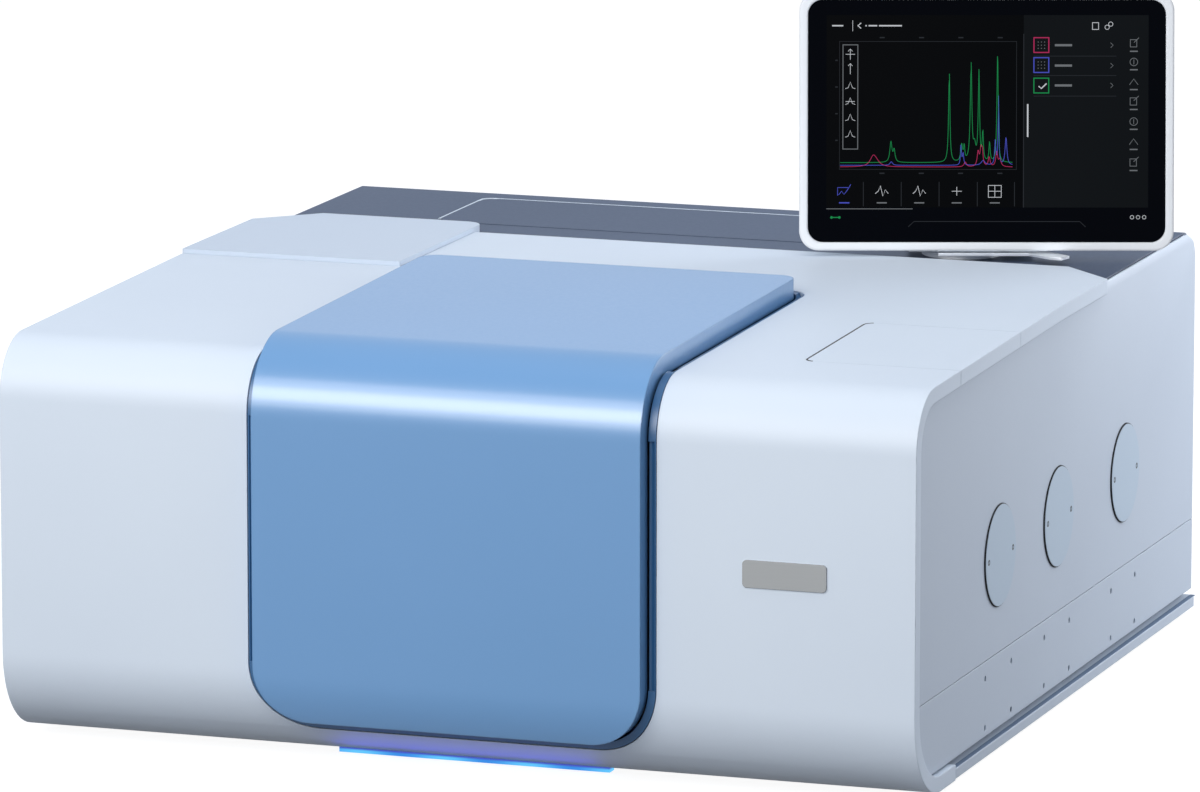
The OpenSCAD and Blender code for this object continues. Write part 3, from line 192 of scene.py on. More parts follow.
metalFinishes = {
    # Stainless steel, brushed: streaks 2 mm wide and 60 mm long, with finer ones in them.
    "brushedSteel": {"base": "#b9bdc2", "rough": 0.34, "streak": (2, 60, 2), "amount": 0.10,
                     "edge": 0.3},
    # Aluminium milled and bead blasted: even grain of 3 mm.
    "blastedAluminium": {"base": "#c3c7cc", "rough": 0.42, "streak": (3, 3, 3),
                         "amount": 0.08, "edge": 0.4},
    # Stand of the display: aluminium, satin anodised.
    "satinStand": {"base": "#eef0f2", "rough": 0.36, "streak": (3, 40, 3), "amount": 0.06,
                   "edge": 0.5},
    # Sand-cast aluminium: coarse skin of 4 mm.
    "castAluminium": {"base": "#9aa0a7", "rough": 0.6, "streak": (4, 4, 4), "amount": 0.15,
                      "edge": 0.8},
    # Aluminium and small screws, anodised black.
    "blackAnodised": {"base": "#2a2d31", "rough": 0.38, "streak": (2, 2, 2), "amount": 0.08,
                      "edge": 0.3},
    # Brass turned on a lathe.
    "turnedBrass": {"base": "#c9a457", "rough": 0.28, "streak": (1, 1, 1), "amount": 0.08,
                    "edge": 0.3},
    # Bare aluminium plate, brushed sideways.
    "badgeAluminium": {"base": "#8a8c8c", "rough": 0.5, "streak": (30, 1, 1),
                       "amount": 0.05, "edge": 0.3},
}
finishes = {}
relief = {"grain": 0.0003, "marks": 0.0002}  # metres
roughSpread = 0.04

for name, look in skinFinishes.items():
    made, tree, shader = startMaterial(name, {"IOR": 1.5, "Coat Weight": look.get("coat", 0.0),
                                              "Coat Roughness": look.get("coatRough", 0.25),
                                              "Specular IOR Level": look.get("specular", 0.5)})
    where = addNode(tree, "ShaderNodeTexCoord").outputs["Object"]
    grain = addNode(tree, "ShaderNodeTexNoise", {"Scale": 1000 / look["grain"],
                                                 "Detail": 2.0}, {"Vector": where})
    # slow drift of tone over about 120 mm, as a large moulding has
    drift = addNode(tree, "ShaderNodeTexNoise", {"Scale": 8.0, "Detail": 1.0},
                    {"Vector": where})
    tone = addNode(tree, "ShaderNodeMix", {"data_type": "RGBA", 6: hexColour(look["base"]),
                                           7: hexColour(look["shade"])},
                   {0: drift.outputs["Fac"]})
    tree.links.new(tone.outputs[2], shader.inputs["Base Color"])
    rough = addNode(tree, "ShaderNodeMapRange", {"To Min": look["rough"] - roughSpread,
                                                 "To Max": look["rough"] + roughSpread},
                    {"Value": grain.outputs["Fac"]})
    tree.links.new(rough.outputs["Result"], shader.inputs["Roughness"])
    rounded = addNode(tree, "ShaderNodeBevel", {"samples": 4,
                                                "Radius": look["edge"] / 1000})
    bump = addNode(tree, "ShaderNodeBump", {"Strength": look["bump"],
                                            "Distance": relief["grain"]},
                   {"Height": grain.outputs["Fac"], "Normal": rounded.outputs["Normal"]})
    tree.links.new(bump.outputs["Normal"], shader.inputs["Normal"])
    finishes[name] = made

for name, look in metalFinishes.items():
    made, tree, shader = startMaterial(name, {"Metallic": 1.0,
                                              "Base Color": hexColour(look["base"])})
    where = addNode(tree, "ShaderNodeTexCoord").outputs["Object"]
    stretch = addNode(tree, "ShaderNodeMapping",
                      {"Scale": tuple(1000 / s for s in look["streak"])}, {"Vector": where})
    marks = addNode(tree, "ShaderNodeTexNoise", {"Scale": 1.0, "Detail": 3.0},
                    {"Vector": stretch.outputs["Vector"]})
    rough = addNode(tree, "ShaderNodeMapRange",
                    {"To Min": look["rough"] - look["amount"],
                     "To Max": look["rough"] + look["amount"]},
                    {"Value": marks.outputs["Fac"]})
    tree.links.new(rough.outputs["Result"], shader.inputs["Roughness"])
    rounded = addNode(tree, "ShaderNodeBevel", {"samples": 4,
                                                "Radius": look["edge"] / 1000})
    bump = addNode(tree, "ShaderNodeBump", {"Strength": look["amount"],
                                            "Distance": relief["marks"]},
                   {"Height": marks.outputs["Fac"], "Normal": rounded.outputs["Normal"]})
    tree.links.new(bump.outputs["Normal"], shader.inputs["Normal"])
    finishes[name] = made

# Float glass over a black print: near black, sharp but weak reflection, faint finger haze.
made, tree, shader = startMaterial("coverGlass", {"Base Color": hexColour("#020307"),
                                                  "IOR": 1.5, "Specular IOR Level": 0.03})
addHaze(tree, shader, 25.0, 3.0, 0.03, 0.10)
finishes["coverGlass"] = made

# Polished potassium bromide: clear with a slight milky haze.
made, tree, shader = startMaterial("saltWindow", {"Base Color": hexColour("#dceaf0"),
                                                  "IOR": 1.53, "Transmission Weight": 0.9})
addHaze(tree, shader, 150.0, 2.0, 0.02, 0.12)
finishes["saltWindow"] = made

# Opal acrylic diffuser over blue light-emitting diodes: a bright line along its lower edge,
# with a spot over each diode, and a dim violet glow above it.
glowHeights = {"bright": 0.0052, "dim": 0.0066}  # metres above the ground
made, tree, shader = startMaterial("lightDiffuser", {"Base Color": hexColour("#14254a"),
                                                     "Roughness": 0.4,
                                                     "Emission Strength": 1.0})
where = addNode(tree, "ShaderNodeTexCoord").outputs["Object"]
spots = addNode(tree, "ShaderNodeTexWave", {"wave_type": "BANDS", "bands_direction": "X",
                                            "Scale": 5.0, "Distortion": 0.0},
                {"Vector": where})
glow = addNode(tree, "ShaderNodeMix", {"data_type": "RGBA", 6: hexColour("#1f86e0"),
                                       7: hexColour("#58c4fa")},
               {0: spots.outputs["Fac"]})
height = addNode(tree, "ShaderNodeSeparateXYZ", None, {0: where})
fade = addNode(tree, "ShaderNodeMapRange", {"From Min": glowHeights["bright"],
                                              "From Max": glowHeights["dim"]},
               {"Value": height.outputs["Z"]})
dimmed = addNode(tree, "ShaderNodeMix", {"data_type": "RGBA", 7: hexColour("#3b45b8")},
                 {0: fade.outputs["Result"], 6: glow.outputs[2]})
tree.links.new(dimmed.outputs[2], shader.inputs["Emission Color"])
finishes["lightDiffuser"] = made

# Polystyrene film, 0.04 mm: clear with a grey sheen.
made, tree, shader = startMaterial("testFilm", {"Base Color": hexColour("#e3e8ea"),
                                                "IOR": 1.59, "Transmission Weight": 0.7})
addHaze(tree, shader, 200.0, 2.0, 0.08, 0.2)
finishes["testFilm"] = made

# Silica gel beads of 2 mm behind a clear window: blue while they are dry.
made, tree, shader = startMaterial("silicaBeads", {"IOR": 1.46, "Roughness": 0.25})
where = addNode(tree, "ShaderNodeTexCoord").outputs["Object"]
beads = addNode(tree, "ShaderNodeTexVoronoi", {"Scale": 500.0}, {"Vector": where})
# each bead is lighter in its middle and darker towards its edge: painted shade between the beads
beadShading = addNode(tree, "ShaderNodeMix", {"data_type": "RGBA", 6: hexColour("#5d86d0"),
                                       7: hexColour("#1c2f6e")},
               {0: beads.outputs["Distance"]})
tree.links.new(beadShading.outputs[2], shader.inputs["Base Color"])
finishes["silicaBeads"] = made

# Screen colours: liquid crystal behind the glass, so they glow and nothing else lights them.
screenColours = {"screenDark": "#040507", "screenPanel": "#101316", "screenLine": "#2b2e33",
                 "screenGrey": "#6f7377", "screenWhite": "#c9cdd2", "screenGreen": "#1c8a4c",
                 "screenPink": "#b02e5c", "screenBlue": "#4b53c0"}
for name, colour in screenColours.items():
    made, tree, shader = startMaterial(name, {"Base Color": hexColour("#000000"),
                                              "Roughness": 0.3, "Emission Strength": 1.0,
                                              "Specular IOR Level": 0.02})
    where = addNode(tree, "ShaderNodeTexCoord").outputs["Object"]
    # the backlight falls off a little over about 100 mm
    cloud = addNode(tree, "ShaderNodeTexNoise", {"Scale": 10.0, "Detail": 0.0},
                    {"Vector": where})
    level = addNode(tree, "ShaderNodeMix",
                    {"data_type": "RGBA", 6: hexColour(colour),
                     7: tuple(0.8 * c for c in hexColour(colour)[:3]) + (1.0,)},
                    {0: cloud.outputs["Fac"]})
    tree.links.new(level.outputs[2], shader.inputs["Emission Color"])
    finishes[name] = made
print("materials made:", len(finishes))

# CAD nodes: finish of each, and smooth curves
nodeFinishes = {
    "mouldedShell": ["front_shell", "service_hatch"],
    "mouldedCover": ["left_cover"],
    "mouldedLid": ["sample_lid"],
    "mouldedBand": ["sample_frame"],
    "powderPanel": ["side_panel_right", "side_panel_left", "lower_panel_right",
                    "lower_panel_left", "port_covers", "rear_panel", "base_strip_right",
                    "base_strip_left"],
    "powderDeck": ["rear_deck", "deck_cover"],
    "powderTray": ["base_tray"],
    "powderBlack": ["sample_tub", "beamsplitter_bay", "source_housing"],
    "blackNylonAndVentShade": ["fan_frame", "fan_rotor", "mains_inlet", "switch_frame", "power_switch",
                   "desiccant_bay"],
    "blackRubberAndSeamShade": ["feet"],
    "displayLacquer": ["display_housing"],
    "solderMask": ["control_board"],
    "cartridgePlastic": ["desiccant_cartridges"],
    "brushedSteel": ["lid_hinge_brackets", "lid_hinge_pins", "left_cover_bracket",
                     "left_cover_pin", "hatch_ledge", "port_screws", "data_sockets",
                     "sample_slide", "detector", "power_supply", "display_tilt_pin"],
    "blastedAluminium": ["side_frame_right", "side_frame_left", "window_rings",
                         "sample_rail", "beamsplitter", "fixed_mirror", "moving_mirror",
                         "laser_tube", "focus_mirrors", "display_swivel"],
    "satinStand": ["display_stand"],
    "castAluminium": ["optical_bench", "mirror_guide"],
    "blackAnodised": ["sample_holder", "aperture_wheel"],
    "turnedBrass": ["purge_fittings"],
    "badgeAluminium": ["badge_plate"],
    "coverGlass": ["display_glass"],
    "saltWindow": ["beam_windows"],
    "lightDiffuser": ["light_bar"],
}
for finish, names in nodeFinishes.items():
    for name in names:
        part = nodes[name]
        for place in part.material_slots:
            place.material = finishes[finish]
        for face in part.data.polygons:
            face.use_smooth = True
        weld = part.modifiers.new("weld", "WELD")
        weld.merge_threshold = smoothing["weld"]
        corner = part.modifiers.new("corner", "EDGE_SPLIT")
        corner.split_angle = math.radians(smoothing["cadAngle"])
print("finishes given to the CAD nodes")

# display: screen content on the glass
screen = {"pivot": (197, 556, 326), "turn": 19, "lean": 8,  # mm in the case, degrees
          "glassW": 260.6, "glassH": 176.6, "faceY": -33.6, "low": -30.5, "middle": 16}
displayPlace = (Matrix.Translation(caseFrame(*screen["pivot"]))
                @ Matrix.Rotation(math.radians(screen["turn"]), 4, "Z")
                @ Matrix.Rotation(math.radians(-screen["lean"]), 4, "X"))


def onGlass(u, v, lift=0.15):
    # u runs from the left edge of the glass and v down from its top, both 0 to 1
    x = screen["middle"] + (u - 0.5) * screen["glassW"]
    z = screen["low"] + (1 - v) * screen["glassH"]
    return displayPlace @ Vector((x / 1000, (screen["faceY"] - lift) / 1000, z / 1000))


def addPatch(bm, u0, v0, u1, v1, lift=0.15):
    bm.faces.new([bm.verts.new(onGlass(u, v, lift))
                  for u, v in ((u0, v1), (u1, v1), (u1, v0), (u0, v0))])


def addLine(bm, points, width=0.5, lift=0.2):
    # a flat line of this width in mm through (u, v) points
    flat = [Vector((u * screen["glassW"], -v * screen["glassH"])) for u, v in points]
    sides = []
    for i, p in enumerate(flat):
        ahead = flat[min(i + 1, len(flat) - 1)] - flat[max(i - 1, 0)]
        normal = Vector((-ahead.y, ahead.x)).normalized() * (width / 2)
        sides.append([bm.verts.new(onGlass(q.x / screen["glassW"],
                                           -q.y / screen["glassH"], lift))
                      for q in (p + normal, p - normal)])
    for a, b in zip(sides, sides[1:]):
        bm.faces.new([a[0], a[1], b[1], b[0]])


def addFrame(bm, u0, v0, u1, v1, width=0.5):
    half = width / 2
    du, dv = half / screen["glassW"], half / screen["glassH"]
    addLine(bm, [(u0 - du, v0), (u1 + du, v0)], width)
    addLine(bm, [(u0 - du, v1), (u1 + du, v1)], width)
    addLine(bm, [(u0, v0 + dv), (u0, v1 - dv)], width)
    addLine(bm, [(u1, v0 + dv), (u1, v1 - dv)], width)


def addRing(bm, u, v, radius, width=0.4, turns=16):
    points = [(u + radius * math.cos(2 * math.pi * i / turns) / screen["glassW"],
               v + radius * math.sin(2 * math.pi * i / turns) / screen["glassH"])
              for i in range(turns + 1)]
    addLine(bm, points, width)


def spectrum(peaks, base, start=0.09, end=0.572, steps=420):
    # peaks: (place, height, half width), all as shares of the glass
    points = []
    for i in range(steps + 1):
        u = start + (end - start) * i / steps
        rise = sum(h / (1 + ((u - p) / w) ** 2) for p, h, w in peaks)
        points.append((u, base - rise))
    return points


# edges of the screen's fields, and the columns and boxes that come back, as shares of the glass
layout = {"left": 0.0515, "split": 0.603, "right": 0.952, "top": 0.063, "header": 0.137,
          "bottom": 0.857, "under": 0.05, "toolColumns": (0.2066, 0.3115, 0.4165, 0.523),
          "boxLeft": 0.6315, "boxRight": 0.673, "boxTall": 0.061, "boxLine": 0.8,
          "pinkBox": 0.156, "blueBox": 0.2385, "greenBox": 0.323}


def addListBox(bm, top):
    addFrame(bm, layout["boxLeft"], top, layout["boxRight"], top + layout["boxTall"],
             layout["boxLine"])


def buildBackground(bm):
    addPatch(bm, layout["left"], layout["top"], layout["split"], layout["bottom"],
             layout["under"])


def buildListPanel(bm):
    split, right, header = layout["split"], layout["right"], layout["header"]
    addPatch(bm, split, header, right, layout["bottom"], layout["under"])
    addPatch(bm, split, layout["top"], right, header, layout["under"])


def buildFaintLines(bm):
    addFrame(bm, 0.088, 0.172, 0.583, 0.70, 0.35)
    for v in (0.232, 0.312, 0.397):
        addLine(bm, [(0.631, v), (0.862, v)], 0.4)
    for u in (0.155, 0.261, 0.367, 0.474, 0.578):
        addLine(bm, [(u, 0.752), (u, 0.852)], 0.5)
    for u in (0.2, 0.31, 0.42, 0.53):
        for v in (0.156, 0.716):
            addLine(bm, [(u, v), (u + 0.014, v)], 0.9)
    for v in (0.25, 0.36, 0.47, 0.58):
        addLine(bm, [(0.076, v), (0.083, v)], 0.9)
    addLine(bm, [(0.281, 0.937), (0.297, 0.915), (0.761, 0.915), (0.777, 0.937)], 0.5)
    addLine(bm, [(layout["split"], 0.14), (layout["split"], layout["bottom"])], 0.6)


def buildGreyMarks(bm):
    addFrame(bm, 0.0975, 0.186, 0.139, 0.616, 0.6)
    addLine(bm, [(layout["left"], 0.863), (0.293, 0.863)], 0.5)
    # rows of the list: a short bar where the name would be, and an arrow
    for v in (0.187, 0.271, 0.353):
        addLine(bm, [(0.69, v), (0.738, v)], 1.6)
        addLine(bm, [(0.846, v - 0.01), (0.853, v), (0.846, v + 0.01)], 0.4)
    # dotted thumbnails in the first two boxes
    for v in (0.187, 0.269):
        for i in (-1, 0, 1):
            for j in (-1, 0, 1):
                u = 0.6523 + 0.009 * i
                addLine(bm, [(u - 0.0012, v + 0.013 * j), (u + 0.0012, v + 0.013 * j)], 0.6)
    # icons down the right edge
    for i, v in enumerate((0.18, 0.256, 0.338, 0.42, 0.502, 0.585, 0.672)):
        u = 0.911
        if i % 3 == 0:
            addFrame(bm, u - 0.010, v - 0.016, u + 0.008, v + 0.014, 0.45)
            addLine(bm, [(u, v - 0.004), (u + 0.014, v - 0.024)], 0.45)
        elif i % 3 == 1:
            addRing(bm, u, v, 2.8, 0.45)
            addLine(bm, [(u, v - 0.010), (u, v + 0.010)], 0.45)
        else:
            addLine(bm, [(u - 0.012, v + 0.012), (u, v - 0.012), (u + 0.012, v + 0.012)],
                    0.45)
        addLine(bm, [(u - 0.011, v + 0.032), (u + 0.011, v + 0.032)], 0.9)
    # labels under the lower row
    for u in layout["toolColumns"]:
        addLine(bm, [(u - 0.014, 0.838), (u + 0.014, 0.838)], 0.9)


def buildWhiteMarks(bm):
    addLine(bm, [(0.6145, 0.43), (0.6145, 0.566)], 1.1)
    addLine(bm, [(0.067, 0.107), (0.098, 0.107)], 1.0)
    addLine(bm, [(0.1245, 0.085), (0.1245, 0.13)], 0.35)
    for start, end in ((0.16, 0.164), (0.169, 0.193), (0.198, 0.262)):
        addLine(bm, [(start, 0.107), (end, 0.107)], 1.0)
    addLine(bm, [(0.148, 0.096), (0.139, 0.107), (0.148, 0.118)], 0.8)
    addLine(bm, [(0.667, 0.345), (0.652, 0.366), (0.645, 0.356)], 0.9)
    addFrame(bm, 0.795, 0.094, 0.812, 0.122, 0.45)
    addRing(bm, 0.836, 0.113, 1.6)
    addRing(bm, 0.846, 0.100, 1.6)
    for u in (0.907, 0.924, 0.941):
        addRing(bm, u, 0.897, 1.3)
    # tools beside the plot
    for i, v in enumerate((0.225, 0.285, 0.355, 0.42, 0.487, 0.555)):
        u = 0.118
        if i < 2:
            addLine(bm, [(u, v - 0.022), (u, v + 0.022)], 0.4)
            addLine(bm, [(u - 0.006, v - 0.012), (u, v - 0.022), (u + 0.006, v - 0.012)],
                    0.4)
        if i in (0, 3):
            addLine(bm, [(u - 0.013, v), (u + 0.013, v)], 0.4)
        if i > 1:
            addLine(bm, [(u - 0.014, v + 0.012), (u - 0.006, v + 0.008), (u, v - 0.016),
                         (u + 0.006, v + 0.008), (u + 0.014, v + 0.012)], 0.4)
    # lower row of tools
    wave = [(-0.018, 0.01), (-0.010, 0.0), (-0.004, -0.022), (0.003, 0.02), (0.010, -0.006),
            (0.018, 0.01)]
    for u in layout["toolColumns"][:2]:
        addLine(bm, [(u + a, 0.79 + b) for a, b in wave], 0.45)
    cross, table = layout["toolColumns"][2:]
    addLine(bm, [(cross - 0.014, 0.79), (cross + 0.014, 0.79)], 0.4)
    addLine(bm, [(cross, 0.772), (cross, 0.808)], 0.4)
    addFrame(bm, table - 0.018, 0.766, table + 0.018, 0.815, 0.4)
    addLine(bm, [(table, 0.766), (table, 0.815)], 0.4)
    addLine(bm, [(table - 0.018, 0.79), (table + 0.018, 0.79)], 0.4)


def buildGreenMarks(bm):
    addListBox(bm, layout["greenBox"])
    addLine(bm, spectrum([(0.232, 0.085, 0.0035), (0.241, 0.05, 0.003),
                          (0.395, 0.37, 0.0022), (0.430, 0.07, 0.003),
                          (0.437, 0.06, 0.002), (0.456, 0.40, 0.0026),
                          (0.466, 0.06, 0.004), (0.478, 0.37, 0.0022),
                          (0.489, 0.12, 0.002), (0.508, 0.08, 0.002),
                          (0.530, 0.46, 0.002)], 0.672), 0.42)
    addRing(bm, 0.066, 0.8985, 0.5, 0.9)
    addRing(bm, 0.088, 0.8985, 0.5, 0.9)
    addLine(bm, [(0.066, 0.8985), (0.088, 0.8985)], 0.7)


def buildPinkMarks(bm):
    addListBox(bm, layout["pinkBox"])
    addLine(bm, spectrum([(0.182, 0.035, 0.010), (0.190, 0.02, 0.012),
                          (0.440, 0.02, 0.004), (0.476, 0.06, 0.003),
                          (0.484, 0.075, 0.003), (0.488, 0.055, 0.002),
                          (0.507, 0.04, 0.003), (0.528, 0.06, 0.003),
                          (0.537, 0.03, 0.004)], 0.690), 0.42)


def buildBlueMarks(bm):
    addListBox(bm, layout["blueBox"])
    addLine(bm, spectrum([(0.233, 0.015, 0.004), (0.428, 0.09, 0.0015),
                          (0.434, 0.05, 0.002), (0.49, 0.02, 0.006),
                          (0.524, 0.10, 0.002), (0.533, 0.28, 0.0014),
                          (0.554, 0.115, 0.003)], 0.683), 0.42)
    addLine(bm, [(0.083, 0.808), (0.083, 0.775), (0.112, 0.775)], 0.5)
    addLine(bm, [(0.086, 0.805), (0.094, 0.79), (0.101, 0.803), (0.109, 0.788),
                 (0.12, 0.762)], 0.5)
    addLine(bm, [(0.087, 0.838), (0.116, 0.838)], 0.9)


for name, build, finish in (
        ("screen_background", buildBackground, "screenDark"),
        ("screen_list_panel", buildListPanel, "screenPanel"),
        ("screen_faint_lines", buildFaintLines, "screenLine"),
        ("screen_grey_marks", buildGreyMarks, "screenGrey"),
        ("screen_white_marks", buildWhiteMarks, "screenWhite"),
        ("screen_green_marks", buildGreenMarks, "screenGreen"),
        ("screen_pink_marks", buildPinkMarks, "screenPink"),
        ("screen_blue_marks", buildBlueMarks, "screenBlue")):
    makePiece(name, build, finishes[finish], "display")
print("screen content made")

# port covers: the seen faces stand a little proud, each on a dark ring that shows as a dark line
# at its near edge, with sunk screws
ports = {"places": (210, 354.5, 525.5), "height": 136, "back": 328, "proud": 331.8,
         "ringTop": 331.5, "radius": 35.8, "gap": 0.02, "ringOut": 36.4, "lip": (0.15, 0.2),
         "pitch": 29, "screwR": 2.3, "screwTop": 331.9, "socketR": 1.1, "socketDeep": 0.9,
         "screwDeep": 1.4, "screwLip": (0.2, 0.15)}


def sidePlace(side, y, z):
    return lambda a, b, h: caseFrame(side * h, y + a, z + b)


def buildPortFaces(bm):
    r, top, back = ports["radius"], ports["proud"], ports["back"]
    for side in (-1, 1):
        for y in ports["places"]:
            addTurned(bm, [(0, top), (r, top), (r, back), (0, back)],
                      sidePlace(side, y, ports["height"]), 64)


def buildPortDarkRings(bm):
    r, out = ports["radius"] + ports["gap"], ports["ringOut"]
    top, back, lip = ports["ringTop"], ports["back"], ports["lip"]
    for side in (-1, 1):
        for y in ports["places"]:
            addTurned(bm, [(r, top), (out - lip[0], top), (out, top - lip[1]), (out, back),
                           (r, back), (r, top)], sidePlace(side, y, ports["height"]), 64)


def buildPortScrews(bm):
    r, hole, top, lip = (ports[key] for key in ("screwR", "socketR", "screwTop", "screwLip"))
    low, root = top - ports["socketDeep"], top - ports["screwDeep"]
    for side in (-1, 1):
        for y in ports["places"]:
            for step in (-ports["pitch"], ports["pitch"]):
                addTurned(bm, [(0, low), (hole, low), (hole, top), (r - lip[0], top),
                               (r, top - lip[1]), (r, root), (0, root)],
                          sidePlace(side, y + step, ports["height"]), 18)


makePiece("port_cover_faces", buildPortFaces, finishes["powderCap"], "case",
          smooth=True)
makePiece("port_dark_rings", buildPortDarkRings, finishes["blackRubberAndSeamShade"], "case",
          smooth=True)
makePiece("port_cover_screws", buildPortScrews, finishes["blackAnodised"], "case",
          smooth=True)

# rear panel: screws along its edges and round the fan
rear = {"face": 706, "headR": 2.9, "head": 1.5, "socketR": 1.3, "socketDeep": 0.9, "root": 1.0,
        "columns": (-314, -105, 105, 314), "rows": (18, 228), "middleRow": 123,
        "fan": (-60, 160), "fanPitch": 35.5}
rear["screws"] = [(x, z) for x in rear["columns"] for z in rear["rows"]]
rear["screws"] += [(rear["columns"][i], rear["middleRow"]) for i in (0, -1)]
rear["screws"] += [(rear["fan"][0] + a * rear["fanPitch"], rear["fan"][1] + b * rear["fanPitch"])
                   for a in (-1, 1) for b in (-1, 1)]


def buildRearScrews(bm):
    r, hole, top = rear["headR"], rear["socketR"], rear["face"] + rear["head"]
    low, base = top - rear["socketDeep"], rear["face"] - rear["root"]
    dome = [(r - 0.9, top), (r - 0.3, top - 0.4), (r, top - 1.1)]
    for x, z in rear["screws"]:
        addTurned(bm, [(0, low), (hole, low), (hole, top), *dome, (r, base), (0, base)],
                  lambda a, b, h, x=x, z=z: caseFrame(x + a, h, z + b), 20)


makePiece("rear_screws", buildRearScrews, finishes["brushedSteel"], "case",
          smooth=True)

# data sockets: tongues and contacts in the four mouths
sockets = {"left": -224.8, "back": 706, "height": 44.5,
           "flat": (26, 46), "square": 65, "network": 4}


def socketPlace(x, y, z):
    return caseFrame(sockets["left"] + x, sockets["back"] + y, sockets["height"] + z)


def buildSocketTongues(bm):
    for left in sockets["flat"]:
        addBlock(bm, (left + 1.5, -13.9, -0.4), (left + 11.5, -1.0, 1.4), socketPlace)
    left = sockets["square"]
    addBlock(bm, (left + 3, -11.9, -1.6), (left + 8, -1.5, 1.6), socketPlace)
    left = sockets["network"]
    addBlock(bm, (left + 3, -13.9, 4.6), (left + 12, -9.0, 6.3), socketPlace)


def buildSocketContacts(bm):
    for i in range(8):
        x = sockets["network"] + 3.2 + 1.1 * i
        addBlock(bm, (x, -13.5, 3.9), (x + 0.5, -3.0, 4.3), socketPlace)
    for left in sockets["flat"]:
        for i in range(4):
            x = left + 2.4 + 2.3 * i
            addBlock(bm, (x, -11.0, -0.65), (x + 1.3, -1.6, -0.35), socketPlace)
    for z in (-1.85, 1.55):
        for x in (sockets["square"] + 3.8, sockets["square"] + 6.0):
            addBlock(bm, (x, -10.5, z), (x + 1.2, -2.2, z + 0.3), socketPlace)


makePiece("socket_tongues", buildSocketTongues, finishes["blackNylonAndVentShade"], "case",
          bevel=0.15)
makePiece("socket_contacts", buildSocketContacts, finishes["turnedBrass"], "case",
          bevel=0.05)

# back of the display: vent slots, drawn as dark patches that paint the shade inside them, and
# the screws of its back cover
displayBack = {"middleX": 16, "middleZ": 57.78, "face": -10, "slots": 17, "pitch": 6.5,
               "slot": (2.2, 18), "slotTop": 58, "clearOfStand": 45, "slotDeep": 0.6,
               "slotProud": 0.12, "screwX": 98, "screwZ": 61, "screwR": 2.6, "socketR": 1.1,
               "socketFloor": 0.1, "headTop": 0.9, "headSide": 0.4, "rootDeep": 0.8}


def backPlace(x, y, z):
    return displayPlace @ Vector(((displayBack["middleX"] + x) / 1000,
                                  (displayBack["face"] + y) / 1000,
                                  (displayBack["middleZ"] + z) / 1000))


def buildDisplayVentShade(bm):
    wide, tall = displayBack["slot"]
    for i in range(displayBack["slots"]):
        x = (i - (displayBack["slots"] - 1) / 2) * displayBack["pitch"]
        for top in (displayBack["slotTop"], -displayBack["slotTop"] + tall):
            if top < 0 and abs(x) < displayBack["clearOfStand"]:
                continue
            addBlock(bm, (x - wide / 2, -displayBack["slotDeep"], top - tall),
                     (x + wide / 2, displayBack["slotProud"], top), backPlace)


def buildDisplayScrews(bm):
    r, hole, low = displayBack["screwR"], displayBack["socketR"], displayBack["socketFloor"]
    top, side, root = displayBack["headTop"], displayBack["headSide"], -displayBack["rootDeep"]
    for x in (-displayBack["screwX"], displayBack["screwX"]):
        for z in (-displayBack["screwZ"], displayBack["screwZ"]):
            addTurned(bm, [(0, low), (hole, low), (hole, top), (r - 0.5, top), (r, side),
                           (r, root), (0, root)],
                      lambda a, b, h, x=x, z=z: backPlace(x + a, h, z + b), 20)


# the vent slots are dark patches: painted shade where the openings would be
makePiece("display_vent_shade", buildDisplayVentShade, finishes["blackNylonAndVentShade"], "display",
          bevel=0.4)
makePiece("display_screws", buildDisplayScrews, finishes["brushedSteel"], "display",
          smooth=True)

# coated salt plates in the beamsplitter's ring, front and back
splitter = {"centre": (-238.75, 409.5, 193), "radius": 24.8, "inner": 2.4, "outer": 6.8,
            "chamfer": 0.6}


def buildSplitterPlates(bm):
    x, y, z = splitter["centre"]
    r, near, far = splitter["radius"], splitter["inner"], splitter["outer"]
    cut = splitter["chamfer"]
    for side in (-1, 1):
        addTurned(bm, [(0, near), (r, near), (r, far - cut), (r - cut, far), (0, far)],
                  lambda a, b, h, side=side: caseFrame(x + a, y + side * h, z + b), 48)


# polystyrene test film in the sample slide
film = {"beam": (150, 136), "radius": 10.05, "flat": 9.25, "half": 0.4, "edgeHalf": 0.24}


def buildFilm(bm):
    r, flat, half, thin = film["radius"], film["flat"], film["half"], film["edgeHalf"]
    addTurned(bm, [(0, half), (flat, half), (r, thin), (r, -thin), (flat, -half), (0, -half)],
              lambda a, b, h: caseFrame(h, film["beam"][0] + a, film["beam"][1] + b), 40)


# ring-shaped indicator windows in the tops of the desiccant cartridges
cartridges = {"x": 275, "places": (141, 205), "low": 257.5, "high": 258.5, "inner": 11.5,
              "outer": 18, "lip": (0.4, 0.2)}


def buildIndicators(bm):
    near, far, (wide, deep) = cartridges["inner"], cartridges["outer"], cartridges["lip"]
    low, high = cartridges["low"], cartridges["high"]
    for y in cartridges["places"]:
        addTurned(bm, [(near, low), (far, low), (far, high - deep), (far - wide, high),
                       (near + wide, high), (near, high - deep), (near, low)],
                  lambda a, b, h, y=y: caseFrame(cartridges["x"] + a, y + b, h), 40)


makePiece("beamsplitter_plates", buildSplitterPlates, finishes["saltWindow"], "case",
          smooth=True)
makePiece("sample_film", buildFilm, finishes["testFilm"], "sample_slide",
          smooth=True)
makePiece("cartridge_indicators", buildIndicators, finishes["silicaBeads"], "case",
          smooth=True)

# seams of the top: a dark bead down the hatch's inner edge, painted shadow of the seam, and
# a pale bead on three sides of the deck cover, painted highlight along its edge
paintedSeamLines = {"hatchX": 222, "hatchY": (102, 244), "hatchR": 7, "hatchHalf": 0.6,
         "hatchRoot": -1.5, "hatchProud": 0.25, "roof": 290, "crease": 345, "slope": 1,
         "deckX": 218, "deckY": (572, 672), "deckR": 8, "deckHalf": 0.9, "deckRoot": -1.0,
         "deckProud": 0.6, "deckTop": 286}


